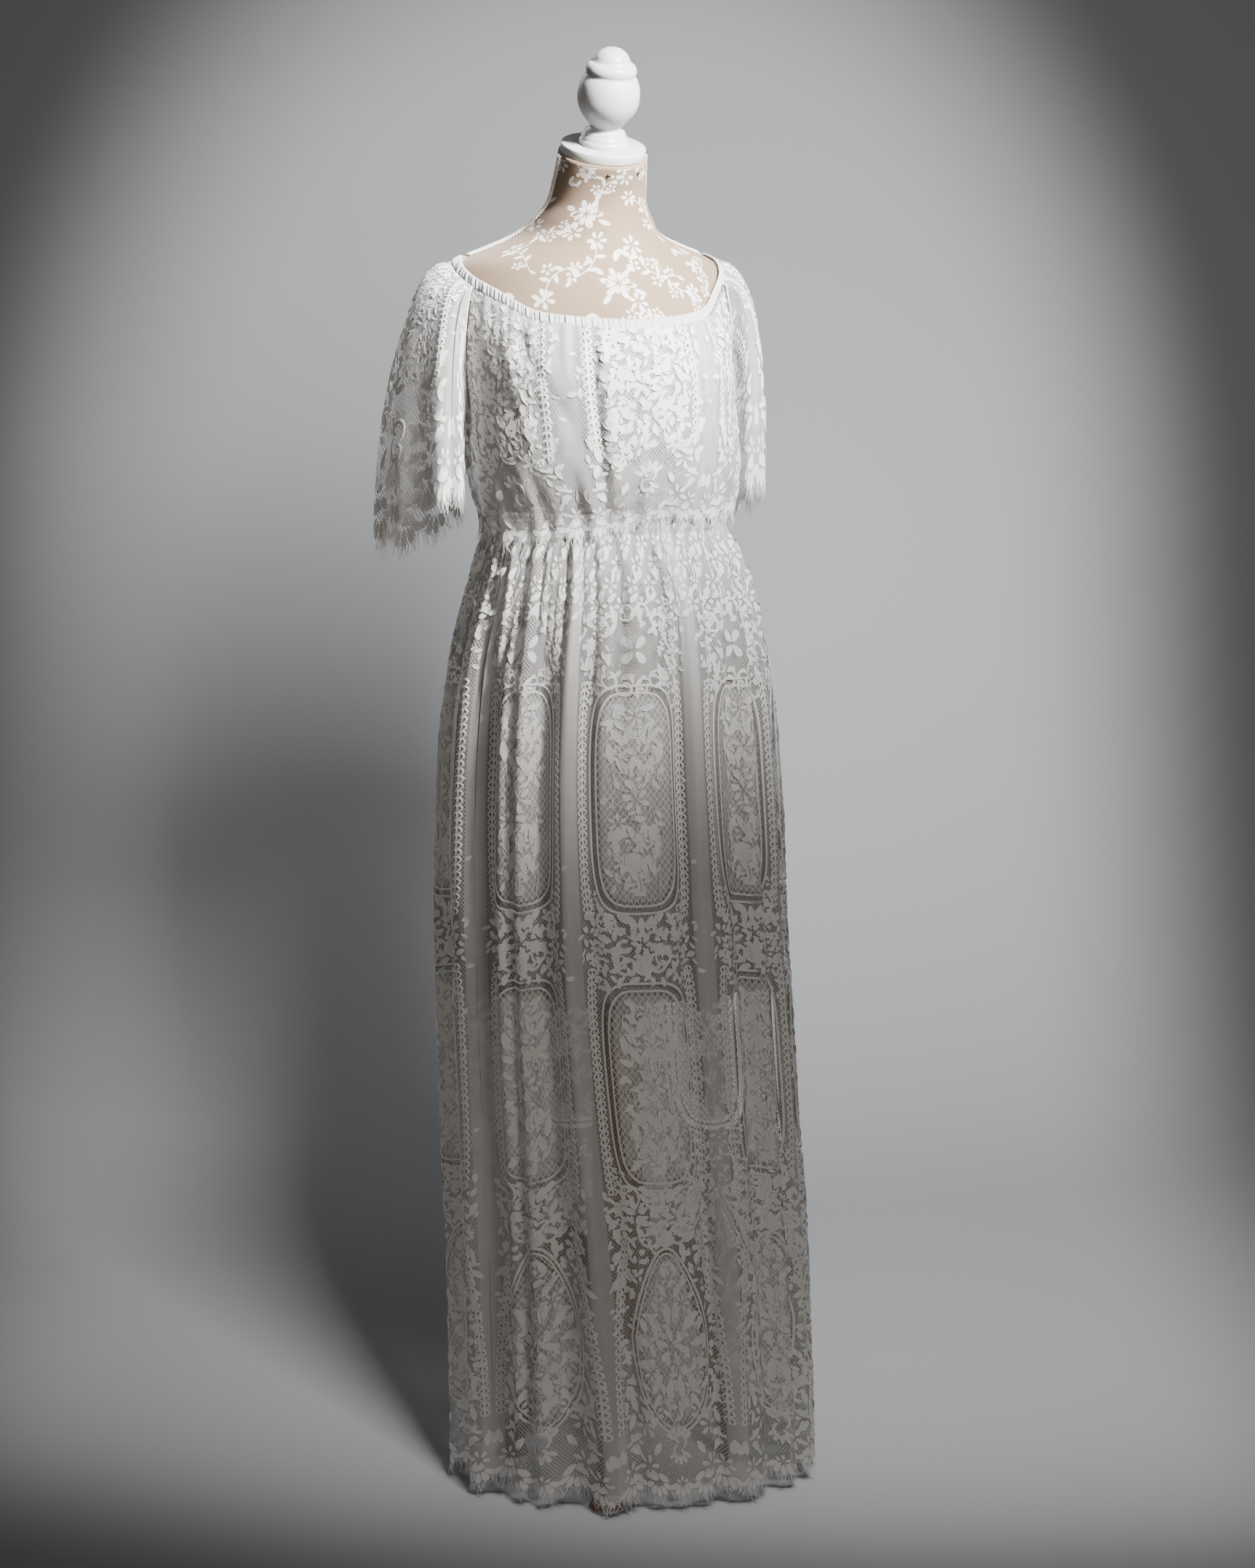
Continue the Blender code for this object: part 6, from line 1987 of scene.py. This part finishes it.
@dataclass
class Sleeve:
    """A flared lace sleeve with its armhole seam."""

    form: DressForm
    bodice: BodiceSurface
    repeat: Mesh
    side: Side
    columns: int = 200
    rows: int = 60

    def build(self) -> None:
        """Make the net, the lace and the seam."""
        word = self.side.name.lower()
        surface = SleeveSurface(self.form, self.bodice, self.side)
        cloth = LaceCloth(surface, self.repeat)
        nodes = [f"{kind}_{word}_{end}" for kind in ("sleeve", "sleeve_fringe") for end in ("front", "back")]
        for number, place in enumerate((0.0, 1.0), 1):
            mesh = cloth.lace(f"sleeve_lace_{word}_{number}", place * REPEAT, surface.length)
            show(f"sleeve_lace_{word}_{number}", mesh, LACE)
        mesh = cloth.net(f"sleeve_net_{word}", -0.5 * REPEAT, 1.5 * REPEAT, surface.length, self.columns,
                         self.rows, True)
        net = show(f"sleeve_net_{word}", mesh, UPPER_NET, nodes)
        x = np.linspace(-0.5 * REPEAT, 1.5 * REPEAT, 181)[:-1]
        path = surface.raised(x, surface.length(x) - 0.0002, np.full_like(x, 0.0004))
        mesh = tube(f"armhole_seam_{word}", [path], 0.0011, closed=True)
        seam = show(f"armhole_seam_{word}", mesh, BRAID)


@dataclass
class Stand:
    """The stand and the tacks, whose CAD shapes stay and get their finishes."""

    wooden: tuple[str, ...] = ("stand_post", "stand_hub", "stand_leg_1", "stand_leg_2", "stand_leg_3")
    steel: tuple[str, ...] = ("tack_1", "tack_2")

    def build(self) -> None:
        """Finish each CAD node."""
        for names, finish in ((self.wooden, WOOD), (self.steel, STEEL)):
            for name in names:
                carried = bpy.data.objects[name]
                carried.data.materials.clear()
                carried.data.materials.append(finish.material())
                LOG.info("%s keeps its CAD shape", name)


@dataclass
class Studio:
    """The paper back and floor, the lights and the camera."""

    shift: Values
    camera_place: Triple = (-2.0521, -5.6382, 1.6)
    camera_aim: Triple = (0.0216, -0.0079, 0.8207)
    lens: float = 119.47

    def build(self) -> None:
        """Set up the studio."""
        self.build_paper()
        key = self.build_light("key_light", (1.00, -2.06, 3.05), (-0.01, 0.0, 1.49), 0.6, 12.5, 17.5)
        fill = self.build_light("fill_light", (0.9, -4.4, 2.2), (0.0, 0.0, 0.90), 1.4, 3.7, 50.0, (1.0, 0.91, 0.82))
        side = self.build_light("side_light", (-3.6, -1.2, 1.5), (-0.1, 0.0, 0.8), 1.4, 0.9, 40.0, (1.0, 0.88, 0.78))
        rear = self.build_light("rear_light", (-0.6, 2.3, 2.4), (0.0, 0.0, 0.95), 1.2, 3.0, 60.0)
        for light in (key, fill, side, rear):
            self.link_to_paper(light, "EXCLUDE")
        self.build_light("back_light", (2.9, 0.4, 2.0), (1.9, 3.2, 0.8), 2.0, 10.0, 100.0)
        wall = self.build_light("wall_light", (-0.32, -1.9, 1.98), (1.45, 2.8, 0.8), 0.5, 56.0, 83.0)
        self.link_to_paper(wall, "INCLUDE")
        world = bpy.data.worlds.new("studio_air")
        bpy.context.scene.world = world
        world.use_nodes = True
        background = world.node_tree.nodes["Background"]
        background.inputs["Color"].default_value = (0.60, 0.62, 0.65, 1.0)
        background.inputs["Strength"].default_value = 0.13
        self.build_camera()

    def build_paper(self) -> None:
        """Floor and back in one sweep."""
        shape = bmesh.new()
        bmesh.ops.create_grid(shape, x_segments=24, y_segments=60, size=0.5)
        for vert in shape.verts:
            t = vert.co.y + 0.5
            run = t * 14.0
            bend, radius = 6.4, 1.4
            if run < bend:
                y, z = run - 5.0, 0.0
            elif run < bend + radius * math.pi / 2.0:
                angle = (run - bend) / radius
                y, z = bend - 5.0 + radius * math.sin(angle), radius * (1.0 - math.cos(angle))
            else:
                y, z = bend - 5.0 + radius, radius + run - bend - radius * math.pi / 2.0
            vert.co = Vector((vert.co.x * 14.0, y, z - 0.0005))
        shape.normal_update()
        mesh = finished(shape, "studio_paper")
        mesh.materials.append(PAPER.material())
        mesh.shade_smooth()
        paper = bpy.data.objects.new("studio_paper", mesh)
        bpy.context.scene.collection.objects.link(paper)

    def build_light(self, name: str, place: Triple, aim: Triple, size: float,
                    power: float, spread: float, tint: Triple = (1.0, 1.0, 1.0)
                    ) -> Piece:
        """A soft square light.

        Args:
            name: Its name.
            place: Where it stands.
            aim: Where it points.
            size: Its side.
            power: Its power in watts.
            spread: Its spread in degrees.
            tint: Its colour.

        Returns:
            The light.
        """
        data = bpy.data.lights.new(name, "AREA")
        data.color = tint
        data.shape, data.size, data.energy, data.spread = "SQUARE", size, power, math.radians(spread)
        light = bpy.data.objects.new(name, data)
        light.location = place
        light.rotation_euler = (Vector(aim) - Vector(place)).to_track_quat("-Z", "Y").to_euler()
        bpy.context.scene.collection.objects.link(light)
        return light

    def link_to_paper(self, light: Piece, state: str) -> None:
        """Keep a light off the paper, or on it alone.

        Args:
            light: The light.
            state: EXCLUDE or INCLUDE.
        """
        lit = bpy.data.collections.new(f"{light.name}_paper")
        lit.objects.link(bpy.data.objects["studio_paper"])
        light.light_linking.receiver_collection = lit
        for member in lit.collection_objects:
            member.light_linking.link_state = state

    def build_camera(self) -> None:
        """The photograph's view."""
        data = bpy.data.cameras.new("front_view")
        data.sensor_fit, data.sensor_height, data.lens = "VERTICAL", 36.0, self.lens
        data.clip_start, data.clip_end = 0.1, 60.0
        camera = bpy.data.objects.new("front_view", data)
        place = Vector(self.camera_place) + Vector(self.shift)
        camera.location = place
        aim = Vector(self.camera_aim) + Vector(self.shift)
        camera.rotation_euler = (aim - place).to_track_quat("-Z", "Y").to_euler()
        bpy.context.scene.collection.objects.link(camera)
        bpy.context.scene.camera = camera


def main() -> None:
    """Build the dress, its form and the studio."""
    logging.basicConfig(level=logging.INFO, format="%(name)s %(message)s")
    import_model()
    form = DressForm()
    skirt_lace, upper_lace = LACE_DESIGN.build(), UPPER_DESIGN.build()
    Stand().build()
    Mannequin(form).build()
    Casings(form).build()
    Bodice(form, upper_lace).build()
    Skirt(form, skirt_lace).build()
    bodice = BodiceSurface(form)
    for side in Side:
        Sleeve(form, bodice, upper_lace, side).build()
    Studio(form.shift).build()


if __name__ == "__main__":
    main()
